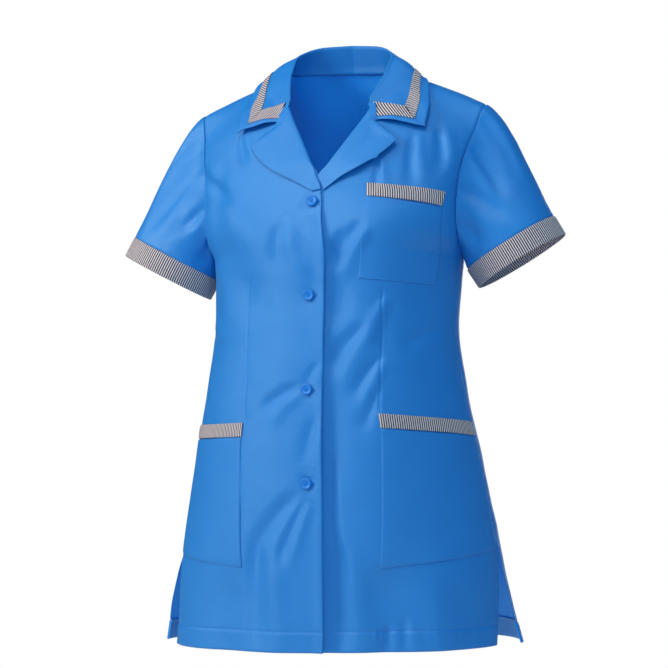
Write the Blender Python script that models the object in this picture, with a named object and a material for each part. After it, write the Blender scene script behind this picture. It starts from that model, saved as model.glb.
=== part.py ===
"""Short-sleeved work tunic in its worn form: button-through fronts, notched collar, striped trims.

Metres, +Z up. The wearer faces -Y and the wearer's left is +X. The origin is the middle of the
line between the two side-neck points, where the wearer's shoulders carry the garment.
Every panel is a thin closed shell. Its outer face comes from a short table of sections.
"""

import math

import bmesh
import bpy
import numpy as np

# Driving dimensions
WALL = 0.0014
COLLAR_WALL = 0.0012
TRIM_WALL = 0.0010
SEAM_GAP = 0.0004
LAY_GAP = 0.0008
ROLL_LIFT = 0.0006
SLEEVE_START = 0.0013
V_DROP = 0.186
BREAK_DROP = 0.198
SHOULDER_DROP = 0.047
ARMPIT_DROP = 0.241
HEM_DROP = 0.733
VENT_DROP = 0.600
LEAN = 0.022
CUFF_DEPTH = 0.0265
CUFF_PROUD = 0.0010
CUFF_WALL = 0.0016
BUTTON_RADIUS = 0.0072
BUTTON_HEIGHT = 0.0030
BUTTON_SIDES = 14
BUTTON_DROPS = [0.169, 0.2865, 0.404, 0.5215]
CREST = 0.0021
FRONT_COLUMNS = 15
COLLAR_STEPS = 16
CREST_SHARE = 0.16
PUFF_START = 6.75
LIFT_FROM = 0.30
LEAST_TURN = 0.4
CUFF_SIDES = 24
BAND_WALL = 0.0018
SHOULDER_MITER = (0.39, 0.92)
BAND_HEIGHT = 0.0165
HIP_BAND_DROPS = {"left": (0.4365, 0.452), "right": (0.446, 0.453)}

# Colours
BLUE = (0.035, 0.235, 0.66, 1.0)
STRIPED = (0.30, 0.28, 0.31, 1.0)


def table(columns, rows):
    """Rows of numbers as a dictionary of named columns."""
    values = np.array(rows, dtype=float)
    return {name: values[:, i] for i, name in enumerate(columns.split())}


# One half of each panel, for +X. A row runs from its inner end (the roll line, or the centre front
# or back) to its outer end (armhole or side seam). drop is how far the outer end is below the neck.
FRONT = table(
    "drop x_in y_in z_in turn",
    [
        (0.047, 0.0720, 0.015, 0.000, 30),
        (0.053, 0.0700, 0.002, -0.0055, 45),
        (0.078, 0.0645, -0.022, -0.018, 60),
        (0.112, 0.0548, -0.052, -0.047, 80),
        (0.150, 0.0270, -0.088, -0.094, 88),
        (0.170, 0.0125, -0.102, -0.117, 89),
        (0.186, 0.000, -0.110, -0.1365, 90),
        (0.216, 0.000, -0.122, -0.182, 90),
        (0.241, 0.000, -0.130, -0.224, 90),
        (0.275, 0.000, -0.134, -0.268, 90),
        (0.330, 0.000, -0.139, -0.328, 90),
        (0.412, 0.000, -0.144, -0.412, 90),
        (0.485, 0.000, -0.146, -0.485, 90),
        (0.600, 0.000, -0.145, -0.600, 90),
        (0.733, 0.000, -0.140, -0.733, 84),
    ],
)
BACK = table(
    "drop x_in y_in z_in turn",
    [
        (0.047, 0.000, 0.060, 0.005, 90),
        (0.053, 0.000, 0.0655, -0.008, 88),
        (0.082, 0.000, 0.083, -0.060, 80),
        (0.125, 0.000, 0.100, -0.112, 70),
        (0.165, 0.000, 0.108, -0.158, 70),
        (0.205, 0.000, 0.107, -0.202, 80),
        (0.241, 0.000, 0.101, -0.240, 90),
        (0.275, 0.000, 0.096, -0.275, 90),
        (0.330, 0.000, 0.091, -0.330, 90),
        (0.412, 0.000, 0.096, -0.412, 90),
        (0.485, 0.000, 0.115, -0.485, 90),
        (0.551, 0.000, 0.131, -0.551, 90),
        (0.600, 0.000, 0.141, -0.600, 90),
        (0.733, 0.000, 0.158, -0.733, 85),
    ],
)
FRONT_ARMHOLE = table(
    "drop x y",
    [
        (0.047, 0.190, 0.015),
        (0.053, 0.1875, 0.001),
        (0.078, 0.182, -0.012),
        (0.112, 0.174, -0.036),
        (0.150, 0.168, -0.047),
        (0.186, 0.166, -0.049),
        (0.216, 0.166, -0.038),
        (0.241, 0.164, -0.006),
    ],
)
BACK_ARMHOLE = table(
    "drop x y",
    [
        (0.047, 0.190, 0.015),
        (0.053, 0.1885, 0.029),
        (0.082, 0.183, 0.042),
        (0.125, 0.177, 0.062),
        (0.165, 0.172, 0.070),
        (0.205, 0.169, 0.060),
        (0.241, 0.164, -0.006),
    ],
)
SIDE_SEAM = table(
    "drop x y",
    [
        (0.241, 0.164, -0.006),
        (0.275, 0.1615, -0.010),
        (0.330, 0.1600, -0.018),
        (0.412, 0.1715, -0.020),
        (0.485, 0.1855, -0.012),
        (0.551, 0.198, -0.005),
        (0.600, 0.207, -0.001),
        (0.733, 0.229, 0.000),
    ],
)
# How far a front reaches past the centre line, from the V of the neck down
OVERLAP = table(
    "drop reach",
    [
        (0.186, 0.0000),
        (0.196, 0.0065),
        (0.217, 0.0135),
        (0.250, 0.0200),
        (0.733, 0.0200),
    ],
)
# How far the V of the neck is moved to the wearer's left
V_SHIFT = table(
    "drop shift",
    [
        (0.047, 0.0),
        (0.078, 0.0),
        (0.112, 0.0020),
        (0.130, 0.0038),
        (0.150, 0.0046),
        (0.186, 0.0042),
        (0.200, 0.0024),
        (0.222, 0.0),
        (0.733, 0.0),
    ],
)

# Below the vents' tops the fronts and the back part: how far each edge leaves the side seam's line
VENTS = table(
    "drop front_x front_y left_x left_y right_x right_y",
    [
        (0.600, 0.000, 0.000, 0.000, 0.000, 0.000, 0.000),
        (0.645, -0.003, -0.007, 0.001, 0.003, 0.009, 0.002),
        (0.690, -0.009, -0.016, 0.004, 0.008, 0.013, 0.006),
        (0.733, -0.015, -0.026, 0.009, 0.012, 0.013, 0.010),
    ],
)
SHOULDER_BOW = 0.0015
NECK_HALF = (0.072, 0.045, 0.005)
NECK_SHARE = 0.30
NECK_FADE = 0.050

# Fullness over the bust, as a soft mound on each front
BUST = {"x": 0.082, "z": -0.205, "half_width": 0.062, "half_height": 0.060, "rise": 0.015}

# The largest folds, in front view. Depth is into the cloth; a negative depth stands out.
FOLDS = table(
    "face x1 z1 x2 z2 width depth",
    [
        (-1, 0.032, -0.340, 0.050, -0.235, 0.016, 0.0030),
        (-1, -0.060, -0.330, -0.125, -0.215, 0.022, 0.0035),
        (-1, -0.140, -0.100, -0.138, -0.205, 0.014, 0.0030),
        (-1, 0.090, -0.610, 0.102, -0.780, 0.030, 0.0060),
        (-1, -0.105, -0.610, -0.122, -0.780, 0.030, 0.0060),
        (-1, 0.152, -0.600, 0.165, -0.780, 0.020, -0.0040),
        (-1, -0.050, -0.600, -0.055, -0.780, 0.022, -0.0030),
        (1, 0.060, -0.480, 0.075, -0.780, 0.030, 0.0060),
        (1, -0.060, -0.480, -0.070, -0.780, 0.030, 0.0060),
        (1, 0.000, -0.330, 0.000, -0.520, 0.030, 0.0040),
    ],
)

# Sleeve ends: centre of the cuff's lower ring, the sleeve's direction, ring half-sizes
SLEEVES = {
    "left": {
        "side": 1,
        "end": (0.2375, 0.010, -0.2435),
        "axis": (0.526, 0.040, -0.850),
        "ring": (0.0645, 0.054),
    },
    "right": {
        "side": -1,
        "end": (0.234, -0.008, -0.2635),
        "axis": (0.446, -0.115, -0.888),
        "ring": (0.0625, 0.054),
    },
}

# The collar for +X, from the centre back (0) to the notch end (1): neck seam, roll line, outer edge
COLLAR = table(
    "along base_x base_y base_z roll_x roll_y roll_z edge_x edge_y edge_z puff",
    [
        (0.00, 0.000, 0.0585, 0.0070, 0.000, 0.0510, 0.0390, 0.000, 0.0740, -0.0140, 0.006),
        (0.20, 0.040, 0.0510, 0.0060, 0.036, 0.0440, 0.0365, 0.048, 0.0680, -0.0160, 0.006),
        (0.35, 0.062, 0.0350, 0.0045, 0.056, 0.0310, 0.0300, 0.085, 0.0480, -0.0190, 0.0066),
        (0.50, 0.0700, 0.0140, 0.0020, 0.0660, 0.0120, 0.0200, 0.110, 0.0160, -0.0100, 0.0062),
        (0.65, 0.0655, -0.008, -0.0080, 0.0650, -0.0110, 0.0010, 0.119, -0.0060, -0.0250, 0.0036),
        (0.82, 0.0582, -0.034, -0.0290, 0.0590, -0.0370, -0.0230, 0.1240, -0.0280, -0.0520, 0.000),
        (1.00, 0.0465, -0.066, -0.0640, 0.0475, -0.0690, -0.0590, 0.1235, -0.0480, -0.0810, 0.000),
    ],
)

# A lapel for +X, from its top (gorge and notch) to its foot, on the front: roll line and outer edge
LAPEL = table(
    "along in_drop out_share out_drop",
    [
        (0.00, 0.1290, 0.107, 0.1262),
        (0.25, 0.1390, 0.307, 0.1378),
        (0.50, 0.1530, 0.262, 0.1545),
        (0.75, 0.1700, 0.165, 0.1778),
        (1.00, 0.1975, 0.002, 0.2000),
    ],
)
LEFT_LAPEL_FOOT = (0.1855, 0.082, 0.1925)

# Patches on the fronts by their corners (share, drop): top inner, top outer, low inner, low outer
CHEST_BAND = [(0.267, 0.1850), (0.787, 0.1726), (0.277, 0.1966), (0.765, 0.1895)]
CHEST_POCKET = [(0.280, 0.1990), (0.762, 0.1925), (0.252, 0.2726), (0.703, 0.2792)]
HIP_SHARES = {"band_in": 0.335, "band_out": 0.985, "in": 0.338, "low_in": 0.285, "low_out": 0.955}
HIP_LOW_DROPS = (0.628, 0.612)
HIP_POCKET_BELOW = 0.019

# A button's profile from its back to the bottom of its hollow: radius and height as shares
BUTTON_PROFILE = [(0.60, 0.0), (0.97, 0.20), (1.0, 0.55), (0.80, 1.0), (0.60, 0.94), (0.48, 0.72)]
BUTTON_STANDOFF = 0.0004

# Tape on the collar's fall: distances in shares of the collar's own grid
TAPE = {"outer": 0.85, "inner": 0.665, "end_outer": 0.966, "end_inner": 0.885, "near_roll": 0.20}


def glide(knots, values, at):
    """Smooth curve through rows of values that never overshoots them (monotone cubic)."""
    knots = np.asarray(knots, dtype=float)
    values = np.asarray(values, dtype=float)
    steps = np.diff(knots)
    slopes = np.diff(values) / steps
    tangents = np.empty_like(values)
    tangents[0] = slopes[0]
    tangents[-1] = slopes[-1]
    product = slopes[:-1] * slopes[1:]
    total = slopes[:-1] + slopes[1:]
    safe = np.where(product > 0, total, 1.0)
    tangents[1:-1] = np.where(product > 0, 2 * product / safe, 0.0)
    cell = np.clip(np.searchsorted(knots, at, side="right") - 1, 0, len(knots) - 2)
    f = (at - knots[cell]) / steps[cell]
    return (
        (2 * f**3 - 3 * f**2 + 1) * values[cell]
        + (f**3 - 2 * f**2 + f) * steps[cell] * tangents[cell]
        + (3 * f**2 - 2 * f**3) * values[cell + 1]
        + (f**3 - f**2) * steps[cell] * tangents[cell + 1]
    )


def unit(vectors):
    """Vectors scaled to length one."""
    return vectors / np.maximum(np.linalg.norm(vectors, axis=-1, keepdims=True), 1e-12)


def soft_step(values):
    """0 to 1 with soft ends."""
    f = np.clip(values, 0.0, 1.0)
    return f * f * (3 - 2 * f)


def outer_end(armhole_rows, spread, drop):
    """Where a panel half ends: the armhole, then the side seam, then its own edge of the vent."""
    seam = [glide(SIDE_SEAM["drop"], SIDE_SEAM[axis], drop) for axis in ("x", "y")]
    hole = [glide(armhole_rows["drop"], armhole_rows[axis], drop) for axis in ("x", "y")]
    low = np.maximum(drop, VENT_DROP)
    part_way = [glide(VENTS["drop"], VENTS[spread + axis], low) for axis in ("_x", "_y")]
    above = drop < ARMPIT_DROP
    return [np.where(above, hole[i], seam[i] + part_way[i]) for i in (0, 1)]


def section(rows, ends, share, drop):
    """Points of a panel half: share 0 to 1 from the inner end to the outer end, at each drop."""
    row = {name: glide(rows["drop"], rows[name], drop) for name in rows if name != "drop"}
    turn = np.radians(row["turn"])
    x = row["x_in"] + (ends[0] - row["x_in"]) * np.sin(turn * share) / np.sin(turn)
    bend = (1 - np.cos(turn * share)) / (1 - np.cos(turn))
    y = row["y_in"] + (ends[1] - row["y_in"]) * bend
    z = row["z_in"] + (-drop - row["z_in"]) * np.abs(share)
    return np.stack([x, y, z], axis=-1)


def shoulder_bow(x, drop):
    """How far the shoulder seam stands above a straight line, fading down the panels."""
    neck_x = NECK_HALF[0]
    tip_x = FRONT_ARMHOLE["x"][0]
    run = np.clip((x - neck_x) / (tip_x - neck_x), 0.0, 1.0)
    fade = np.clip(1 - (drop - SHOULDER_DROP) / NECK_FADE, 0.0, 1.0) ** 2
    return SHOULDER_BOW * np.sin(math.pi * run) * fade


def neck_shape(share, drop):
    """How far the back's top rows depart from plain sections, to follow neck and shoulder seam."""
    half, depth, rise = NECK_HALF
    seam_y = FRONT["y_in"][0]
    angle = np.minimum(share / NECK_SHARE, 1.0) * math.pi / 2
    neck = np.stack([half * np.sin(angle), seam_y + depth * np.cos(angle), rise * np.cos(angle)], axis=-1)
    run = np.clip((share - NECK_SHARE) / (1 - NECK_SHARE), 0.0, 1.0)[..., None]
    tip = np.array([FRONT_ARMHOLE["x"][0], seam_y, -SHOULDER_DROP])
    top = neck + run * (tip - np.array([half, seam_y, 0.0]))
    top_drop = np.full_like(share, SHOULDER_DROP)
    plain = section(BACK, outer_end(BACK_ARMHOLE, "left", top_drop), share, top_drop)
    fade = np.clip(1 - (drop - SHOULDER_DROP) / NECK_FADE, 0.0, 1.0) ** 2
    return (top - plain) * fade[..., None]


def fold(points, face):
    """Moves points of the front (-1) or back (1) along Y by the large folds."""
    x = points[..., 0]
    z = points[..., 2]
    shift = np.zeros_like(x)
    for i in range(len(FOLDS["face"])):
        if FOLDS["face"][i] != face:
            continue
        start = np.array([FOLDS["x1"][i], FOLDS["z1"][i]])
        run = np.array([FOLDS["x2"][i], FOLDS["z2"][i]]) - start
        length = float(np.hypot(*run))
        along = ((x - start[0]) * run[0] + (z - start[1]) * run[1]) / length
        across = (-(x - start[0]) * run[1] + (z - start[1]) * run[0]) / length
        hump = soft_step(along / (0.35 * length)) * soft_step((1.25 * length - along) / (0.35 * length))
        shift += FOLDS["depth"][i] * hump * np.exp(-((across / FOLDS["width"][i]) ** 2))
    points = points.copy()
    points[..., 1] -= face * shift
    return points


def lean(points):
    """The figure stands with one shoulder and hip a little higher."""
    points = points.copy()
    points[..., 2] += LEAN * points[..., 0]
    return points


def front_face(side, share, drop):
    """Outer face of a front, side 1 for the wearer's left and -1 for the right."""
    share, drop = np.broadcast_arrays(np.asarray(share, float), np.asarray(drop, float))
    points = section(FRONT, outer_end(FRONT_ARMHOLE, "front", drop), share, drop)
    points[..., 2] += shoulder_bow(points[..., 0], drop)
    level = ((points[..., 2] - BUST["z"]) / BUST["half_height"]) ** 2
    for centre in (-BUST["x"], BUST["x"]):
        across = ((points[..., 0] - centre) / BUST["half_width"]) ** 2
        points[..., 1] -= BUST["rise"] * np.exp(-across - level)
    points[..., 0] *= side
    points = fold(points, -1)
    if side < 0:
        near = soft_step((points[..., 0] + 0.075) / 0.040) * soft_step((drop - 0.160) / 0.020)
        points[..., 1] -= near * (WALL + LAY_GAP)
    return lean(points)


def back_face(share, drop):
    """Outer face of the back, share -1 to 1 from the right side seam to the left."""
    share, drop = np.broadcast_arrays(np.asarray(share, float), np.asarray(drop, float))
    half = np.abs(share)
    left = outer_end(BACK_ARMHOLE, "left", drop)
    right = outer_end(BACK_ARMHOLE, "right", drop)
    ends = [np.where(share < 0, right[i], left[i]) for i in (0, 1)]
    points = section(BACK, ends, half, drop) + neck_shape(half, drop)
    points[..., 2] += shoulder_bow(points[..., 0], drop)
    points[..., 0] *= np.where(share < 0, -1.0, 1.0)
    return lean(fold(points, 1))


def normals_of(face, share, drop, outward):
    """Unit normals of a panel's face, by small steps along both of its directions."""
    step = 1e-4
    across = face(share + step, drop) - face(share - step, drop)
    down = face(share, drop + step) - face(share, drop - step)
    normal = unit(np.cross(across, down))
    sign = np.sign(np.sum(normal * outward, axis=-1, keepdims=True))
    return normal * np.where(sign == 0, 1.0, sign)


def away(points):
    """Directions from the body's upright axis to the points."""
    axis = np.array([0.0, -0.020, 0.0])
    out = points - axis
    out[..., 2] = 0.05
    return out


def closed_shell(name, outer, inner, material, loop=False):
    """A closed wall between two grids of points; loop joins the last column to the first."""
    rows, columns = outer.shape[:2]
    mesh = bmesh.new()
    outside = [[mesh.verts.new(p) for p in row] for row in outer]
    inside = [[mesh.verts.new(p) for p in row] for row in inner]
    spans = columns if loop else columns - 1
    for i in range(rows - 1):
        for j in range(spans):
            k = (j + 1) % columns
            mesh.faces.new([outside[i][j], outside[i + 1][j], outside[i + 1][k], outside[i][k]])
            mesh.faces.new([inside[i][j], inside[i][k], inside[i + 1][k], inside[i + 1][j]])
    for i in (0, rows - 1):
        for j in range(spans):
            k = (j + 1) % columns
            mesh.faces.new([outside[i][j], outside[i][k], inside[i][k], inside[i][j]])
    if not loop:
        for j in (0, columns - 1):
            for i in range(rows - 1):
                mesh.faces.new([outside[i][j], outside[i + 1][j], inside[i + 1][j], inside[i][j]])
    bmesh.ops.recalc_face_normals(mesh, faces=mesh.faces)
    if mesh.calc_volume(signed=True) < 0:
        bmesh.ops.reverse_faces(mesh, faces=mesh.faces)
    return add_object(name, mesh, material)


def add_object(name, mesh, material):
    """A named object from a bmesh."""
    data = bpy.data.meshes.new(name)
    mesh.to_mesh(data)
    mesh.free()
    data.materials.append(material)
    data.shade_smooth()
    data.set_sharp_from_angle(angle=math.radians(40))
    item = bpy.data.objects.new(name, data)
    bpy.context.collection.objects.link(item)
    return item


def cloth_material(name, colour, roughness):
    """Plain cloth finish."""
    material = bpy.data.materials.new(name)
    material.use_nodes = True
    shader = material.node_tree.nodes["Principled BSDF"]
    shader.inputs["Base Color"].default_value = colour
    shader.inputs["Roughness"].default_value = roughness
    shader.inputs["Metallic"].default_value = 0.0
    return material


def overlap_share(side, drop):
    """The front's edge past its own line, as a negative share; the V of the neck sits to the left."""
    turn = np.radians(glide(FRONT["drop"], FRONT["turn"], drop))
    reach = glide(OVERLAP["drop"], OVERLAP["reach"], np.maximum(drop, V_DROP))
    reach = reach - side * glide(V_SHIFT["drop"], V_SHIFT["shift"], drop)
    width = outer_end(FRONT_ARMHOLE, "front", drop)[0] - glide(FRONT["drop"], FRONT["x_in"], drop)
    return -np.arcsin(reach * np.sin(turn) / width) / turn


LOWER_DROPS = np.array(
    [ARMPIT_DROP, 0.262, 0.290, 0.325, 0.365, 0.412, 0.458, 0.505, 0.551, VENT_DROP, 0.645, 0.690, HEM_DROP]
)


def front_grid(side, drops, columns):
    """Outer points and normals of a front, seams pulled back by half a gap."""
    drop = np.repeat(drops[:, None], columns, axis=1)
    place = np.linspace(0.0, 1.0, columns)[None, :]
    start = overlap_share(side, drops)[:, None]
    share = start + (1 - start) * place
    points = front_face(side, share, drop)
    facing = away(points)
    normals = normals_of(lambda s, d: front_face(side, s, d), share, drop, facing)
    normals[0] = unit(np.array([SHOULDER_MITER[0] * side, 0.0, SHOULDER_MITER[1]]))
    points[0, :, 1] -= SEAM_GAP / 2
    below = drops >= ARMPIT_DROP
    normals[below, -1] = unit(normals[below, -1] * np.array([1.0, 0.0, 0.3]))
    points[below, -1, 1] -= SEAM_GAP / 2
    return points, normals


def front(side, material):
    """One front panel."""
    upper = [SHOULDER_DROP, 0.062, 0.078, 0.095, 0.112, 0.131, 0.150, 0.168, V_DROP, BREAK_DROP, 0.219]
    points, normals = front_grid(side, np.concatenate([upper, LOWER_DROPS]), FRONT_COLUMNS)
    name = "front_left" if side > 0 else "front_right"
    return closed_shell(name, points, points - WALL * normals, material)


def back(material):
    """The back panel, side to side."""
    upper = np.array([SHOULDER_DROP, 0.059, 0.075, 0.095, 0.118, 0.142, 0.165, 0.186, 0.205, 0.224])
    drops = np.concatenate([upper, LOWER_DROPS])
    half = np.concatenate([np.linspace(0, NECK_SHARE, 5), np.linspace(NECK_SHARE, 1, 8)[1:]])
    shares = np.concatenate([-half[:0:-1], half])
    drop = np.repeat(drops[:, None], len(shares), axis=1)
    share = np.repeat(shares[None, :], len(drops), axis=0)
    points = back_face(share, drop)
    normals = normals_of(back_face, share, drop, away(points))
    on_seam = np.abs(shares) >= NECK_SHARE
    flat = np.zeros_like(shares)
    miter = np.stack([SHOULDER_MITER[0] * np.sign(shares), flat, flat + SHOULDER_MITER[1]], axis=-1)
    normals[0, on_seam] = unit(miter[on_seam])
    points[0, on_seam, 1] += SEAM_GAP / 2
    below = drops >= ARMPIT_DROP
    for column in (0, -1):
        normals[below, column] = unit(normals[below, column] * np.array([1.0, 0.0, 0.3]))
        points[below, column, 1] += SEAM_GAP / 2
    return closed_shell("back", points, points - WALL * normals, material)


def armhole(side):
    """The armhole's points from the shoulder tip down the front and up the back, and their frames."""
    down = np.linspace(SHOULDER_DROP, ARMPIT_DROP, 13)
    ones = np.ones_like(down)
    halves = []
    for face in (lambda s, d: front_face(side, s, d), lambda s, d: back_face(s * side, d)):
        edge = face(ones, down)
        inner = face(ones - 0.02, down)
        along = np.gradient(edge, axis=0)
        out = unit(edge - inner)
        out = unit(out - np.sum(out * unit(along), axis=-1, keepdims=True) * unit(along))
        halves.append((edge, out))
    points = np.concatenate([halves[0][0], halves[1][0][-2:0:-1]])
    outgoing = np.concatenate([halves[0][1], halves[1][1][-2:0:-1]])
    return points, unit(outgoing)


def sleeve_frame(side_name):
    """Where a sleeve's cuff ring lies, and its axes."""
    sizes = SLEEVES[side_name]
    flip = np.array([sizes["side"], 1.0, 1.0])
    axis = unit(np.array(sizes["axis"]) * flip)
    front_way = unit(np.cross(axis, np.array([0.0, 0.0, 1.0])) * -sizes["side"])
    top_way = unit(np.cross(axis, front_way) * sizes["side"])
    if top_way[2] < 0:
        top_way = -top_way
    if front_way[1] > 0:
        front_way = -front_way
    return np.array(sizes["end"]) * flip, axis, top_way, front_way, sizes["ring"]


def cuff_ring(side_name, count, back_off, grow):
    """A ring of the sleeve's end, back_off above the cuff's lower edge and grow wider."""
    end, axis, top_way, front_way, ring = sleeve_frame(side_name)
    angle = np.arange(count) * 2 * math.pi / count
    taper = 1.0 + 0.10 * back_off
    across = (ring[0] * taper + grow) * np.cos(angle)
    deep = (ring[1] * taper + grow) * np.sin(angle)
    return end - back_off * axis + across[:, None] * top_way + deep[:, None] * front_way


def sleeve_face(side_name, run):
    """Outer points of a sleeve at shares of its length, from the armhole to the cuff seam."""
    side = SLEEVES[side_name]["side"]
    start, outgoing = armhole(side)
    count = len(start)
    target = cuff_ring(side_name, count, CUFF_DEPTH + SEAM_GAP, 0.0)
    axis = sleeve_frame(side_name)[1]
    angle = np.arange(count) * 2 * math.pi / count
    chord = unit(target - start)
    keep = 0.40 * (1 + np.cos(angle))[:, None]
    leave = unit(keep * outgoing + (1 - keep) * chord + np.array([0.25 * side, 0.0, 0.0]) * (1 - keep))
    start = start + SLEEVE_START * leave
    reach = np.linalg.norm(target - start, axis=-1, keepdims=True)
    f = np.asarray(run, float)[:, None, None]
    return (
        (2 * f**3 - 3 * f**2 + 1) * start
        + (f**3 - 2 * f**2 + f) * reach * leave * 0.68
        + (3 * f**2 - 2 * f**3) * target
        + (f**3 - f**2) * reach * axis * 0.9
    ), outgoing


def loop_normals(points, centre):
    """Outward normals of a tube of rings."""
    along = np.gradient(points, axis=0)
    around = np.roll(points, -1, axis=1) - np.roll(points, 1, axis=1)
    normal = unit(np.cross(along, around))
    facing = np.sum(normal * (points - centre), axis=-1, keepdims=True)
    return normal * np.sign(np.mean(facing))


def sleeve(side_name, material):
    """A sleeve from the armhole to the cuff seam."""
    points, outgoing = sleeve_face(side_name, [0.0, 0.12, 0.28, 0.46, 0.66, 0.85, 1.0])
    normals = loop_normals(points, points.mean(axis=1, keepdims=True))
    lift = np.maximum(np.sum(normals[0] * outgoing, axis=-1, keepdims=True), 0.0)
    normals[0] = unit(normals[0] - lift * outgoing)
    axis = sleeve_frame(side_name)[1]
    normals[-1] = unit(normals[-1] - np.sum(normals[-1] * axis, axis=-1, keepdims=True) * axis)
    return closed_shell("sleeve_" + side_name, points, points - WALL * normals, material, loop=True)


def cuff(side_name, material):
    """The striped band at a sleeve's end."""
    rings = [cuff_ring(side_name, CUFF_SIDES, CUFF_DEPTH * f, CUFF_PROUD) for f in (1.0, 0.0)]
    points = np.array(rings)
    centre = points.mean(axis=1, keepdims=True)
    inner = points - CUFF_WALL * unit(points - centre)
    return closed_shell("cuff_" + side_name, points, inner, material, loop=True)


def body_samples():
    """A dense set of points and normals of the fronts and back, to lay other pieces on."""
    drops = np.linspace(SHOULDER_DROP, 0.30, 60)
    shares = np.linspace(0.0, 1.0, 50)
    drop, share = np.meshgrid(drops, shares, indexing="ij")
    places = []
    facings = []
    faces = [
        lambda s, d: front_face(1, s, d),
        lambda s, d: front_face(-1, s, d),
        lambda s, d: back_face(s, d),
        lambda s, d: back_face(-s, d),
    ]
    for face in faces:
        inside_share = np.clip(share, 0.0005, 0.9995)
        inside_drop = np.clip(drop, SHOULDER_DROP + 0.0002, None)
        points = face(inside_share, inside_drop)
        places.append(points.reshape(-1, 3))
        facings.append(normals_of(face, inside_share, inside_drop, away(points)).reshape(-1, 3))
    return np.concatenate(places), np.concatenate(facings)


def clear_of_body(points, lift, samples):
    """Points moved out so that each is at least lift above the nearest place of the body."""
    places, facings = samples
    flat = points.reshape(-1, 3).copy()
    limit = np.broadcast_to(lift, points.shape[:-1]).reshape(-1)
    for i, point in enumerate(flat):
        for _ in range(2):
            gap = point - places
            near = int(np.argmin(np.einsum("ij,ij->i", gap, gap)))
            height = float(np.dot(point - places[near], facings[near]))
            if height < limit[i]:
                point = point + (limit[i] - height) * facings[near]
        flat[i] = point
    return flat.reshape(points.shape)


def collar_face(along, across, samples):
    """The collar's visible face. along -1 to 1 from right notch to left; across -1 at the neck
    seam, 0 at the roll's crest, 1 at the outer edge."""
    along, across = np.broadcast_arrays(np.asarray(along, float), np.asarray(across, float))
    half = np.abs(along)
    flip = np.stack([np.where(along < 0, -1.0, 1.0), np.ones_like(half), np.ones_like(half)], axis=-1)

    def line(kind, at):
        columns = [glide(COLLAR["along"], COLLAR[kind + axis], at) for axis in ("_x", "_y", "_z")]
        return np.stack(columns, axis=-1)

    step = 0.01
    base = line("base", half)
    crest = line("roll", half)
    edge = line("edge", half)
    after = line("roll", np.minimum(half + step, 1.0))
    before = line("roll", np.maximum(half - step, 0.0))
    tangent = unit(after - before)
    away_from = edge - crest
    away_from = unit(away_from - np.sum(away_from * tangent, axis=-1, keepdims=True) * tangent)
    at_back = np.clip(1 - half / 0.5, 0.0, 1.0)[..., None]
    level = unit(away_from * np.array([1.0, 1.0, 0.0]))
    outward = unit(level * at_back + away_from * (1 - at_back))
    up = np.cross(outward, tangent)
    up *= np.sign(up[..., 2:3] + 1e-9)
    puff = glide(COLLAR["along"], COLLAR["puff"], half)[..., None]
    rise = PUFF_START * puff * unit(up + outward)
    reach = edge - crest + rise
    slope = np.arctan2(-np.sum(reach * up, axis=-1), np.sum(reach * outward, axis=-1))
    slope = np.clip(slope, LEAST_TURN, math.pi / 2)[..., None]
    turn = np.clip(across / CREST_SHARE, -1.0, 1.0)[..., None]
    turn = np.where(turn > 0, turn * slope, turn * (math.pi / 2))
    rolled = crest + CREST * (np.sin(turn) * outward + (np.cos(turn) - 1) * up)
    fall = np.clip((across - CREST_SHARE) / (1 - CREST_SHARE), 0.0, 1.0)[..., None]
    stand = np.clip((-across - CREST_SHARE) / (1 - CREST_SHARE), 0.0, 1.0)[..., None]
    out_start = crest + CREST * (np.sin(slope) * outward + (np.cos(slope) - 1) * up)
    in_start = crest - CREST * (outward + up)
    bow = fall * (1 - fall) ** 2 * rise
    points = rolled + fall * (edge - out_start) + bow + stand * (base - in_start)
    lift = np.where(across > LIFT_FROM, COLLAR_WALL + LAY_GAP, -1.0)
    return clear_of_body(points * flip, lift, samples)


def grid_normals(points, outward):
    """Normals of an open grid by differences, turned to the outward side."""
    down = np.gradient(points, axis=0)
    across = np.gradient(points, axis=1)
    normal = unit(np.cross(across, down))
    sign = np.sign(np.sum(normal * outward))
    return normal * sign


def collar(material, samples):
    """Stand and fall in one folded sheet."""
    alongs = np.linspace(-1.0, 1.0, 2 * COLLAR_STEPS + 1)
    acrosses = np.array([-1.0, -0.55, -0.16, -0.08, 0.0, 0.08, 0.16, 0.40, 0.665, 0.85, 1.0])
    along, across = np.meshgrid(alongs, acrosses, indexing="ij")
    points = collar_face(along, across, samples)
    outward = np.zeros_like(points)
    outward[:, 4] = (0.0, 0.0, 1.0)
    normals = grid_normals(points, outward)
    return closed_shell("collar", points, points - COLLAR_WALL * normals, material)


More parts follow.
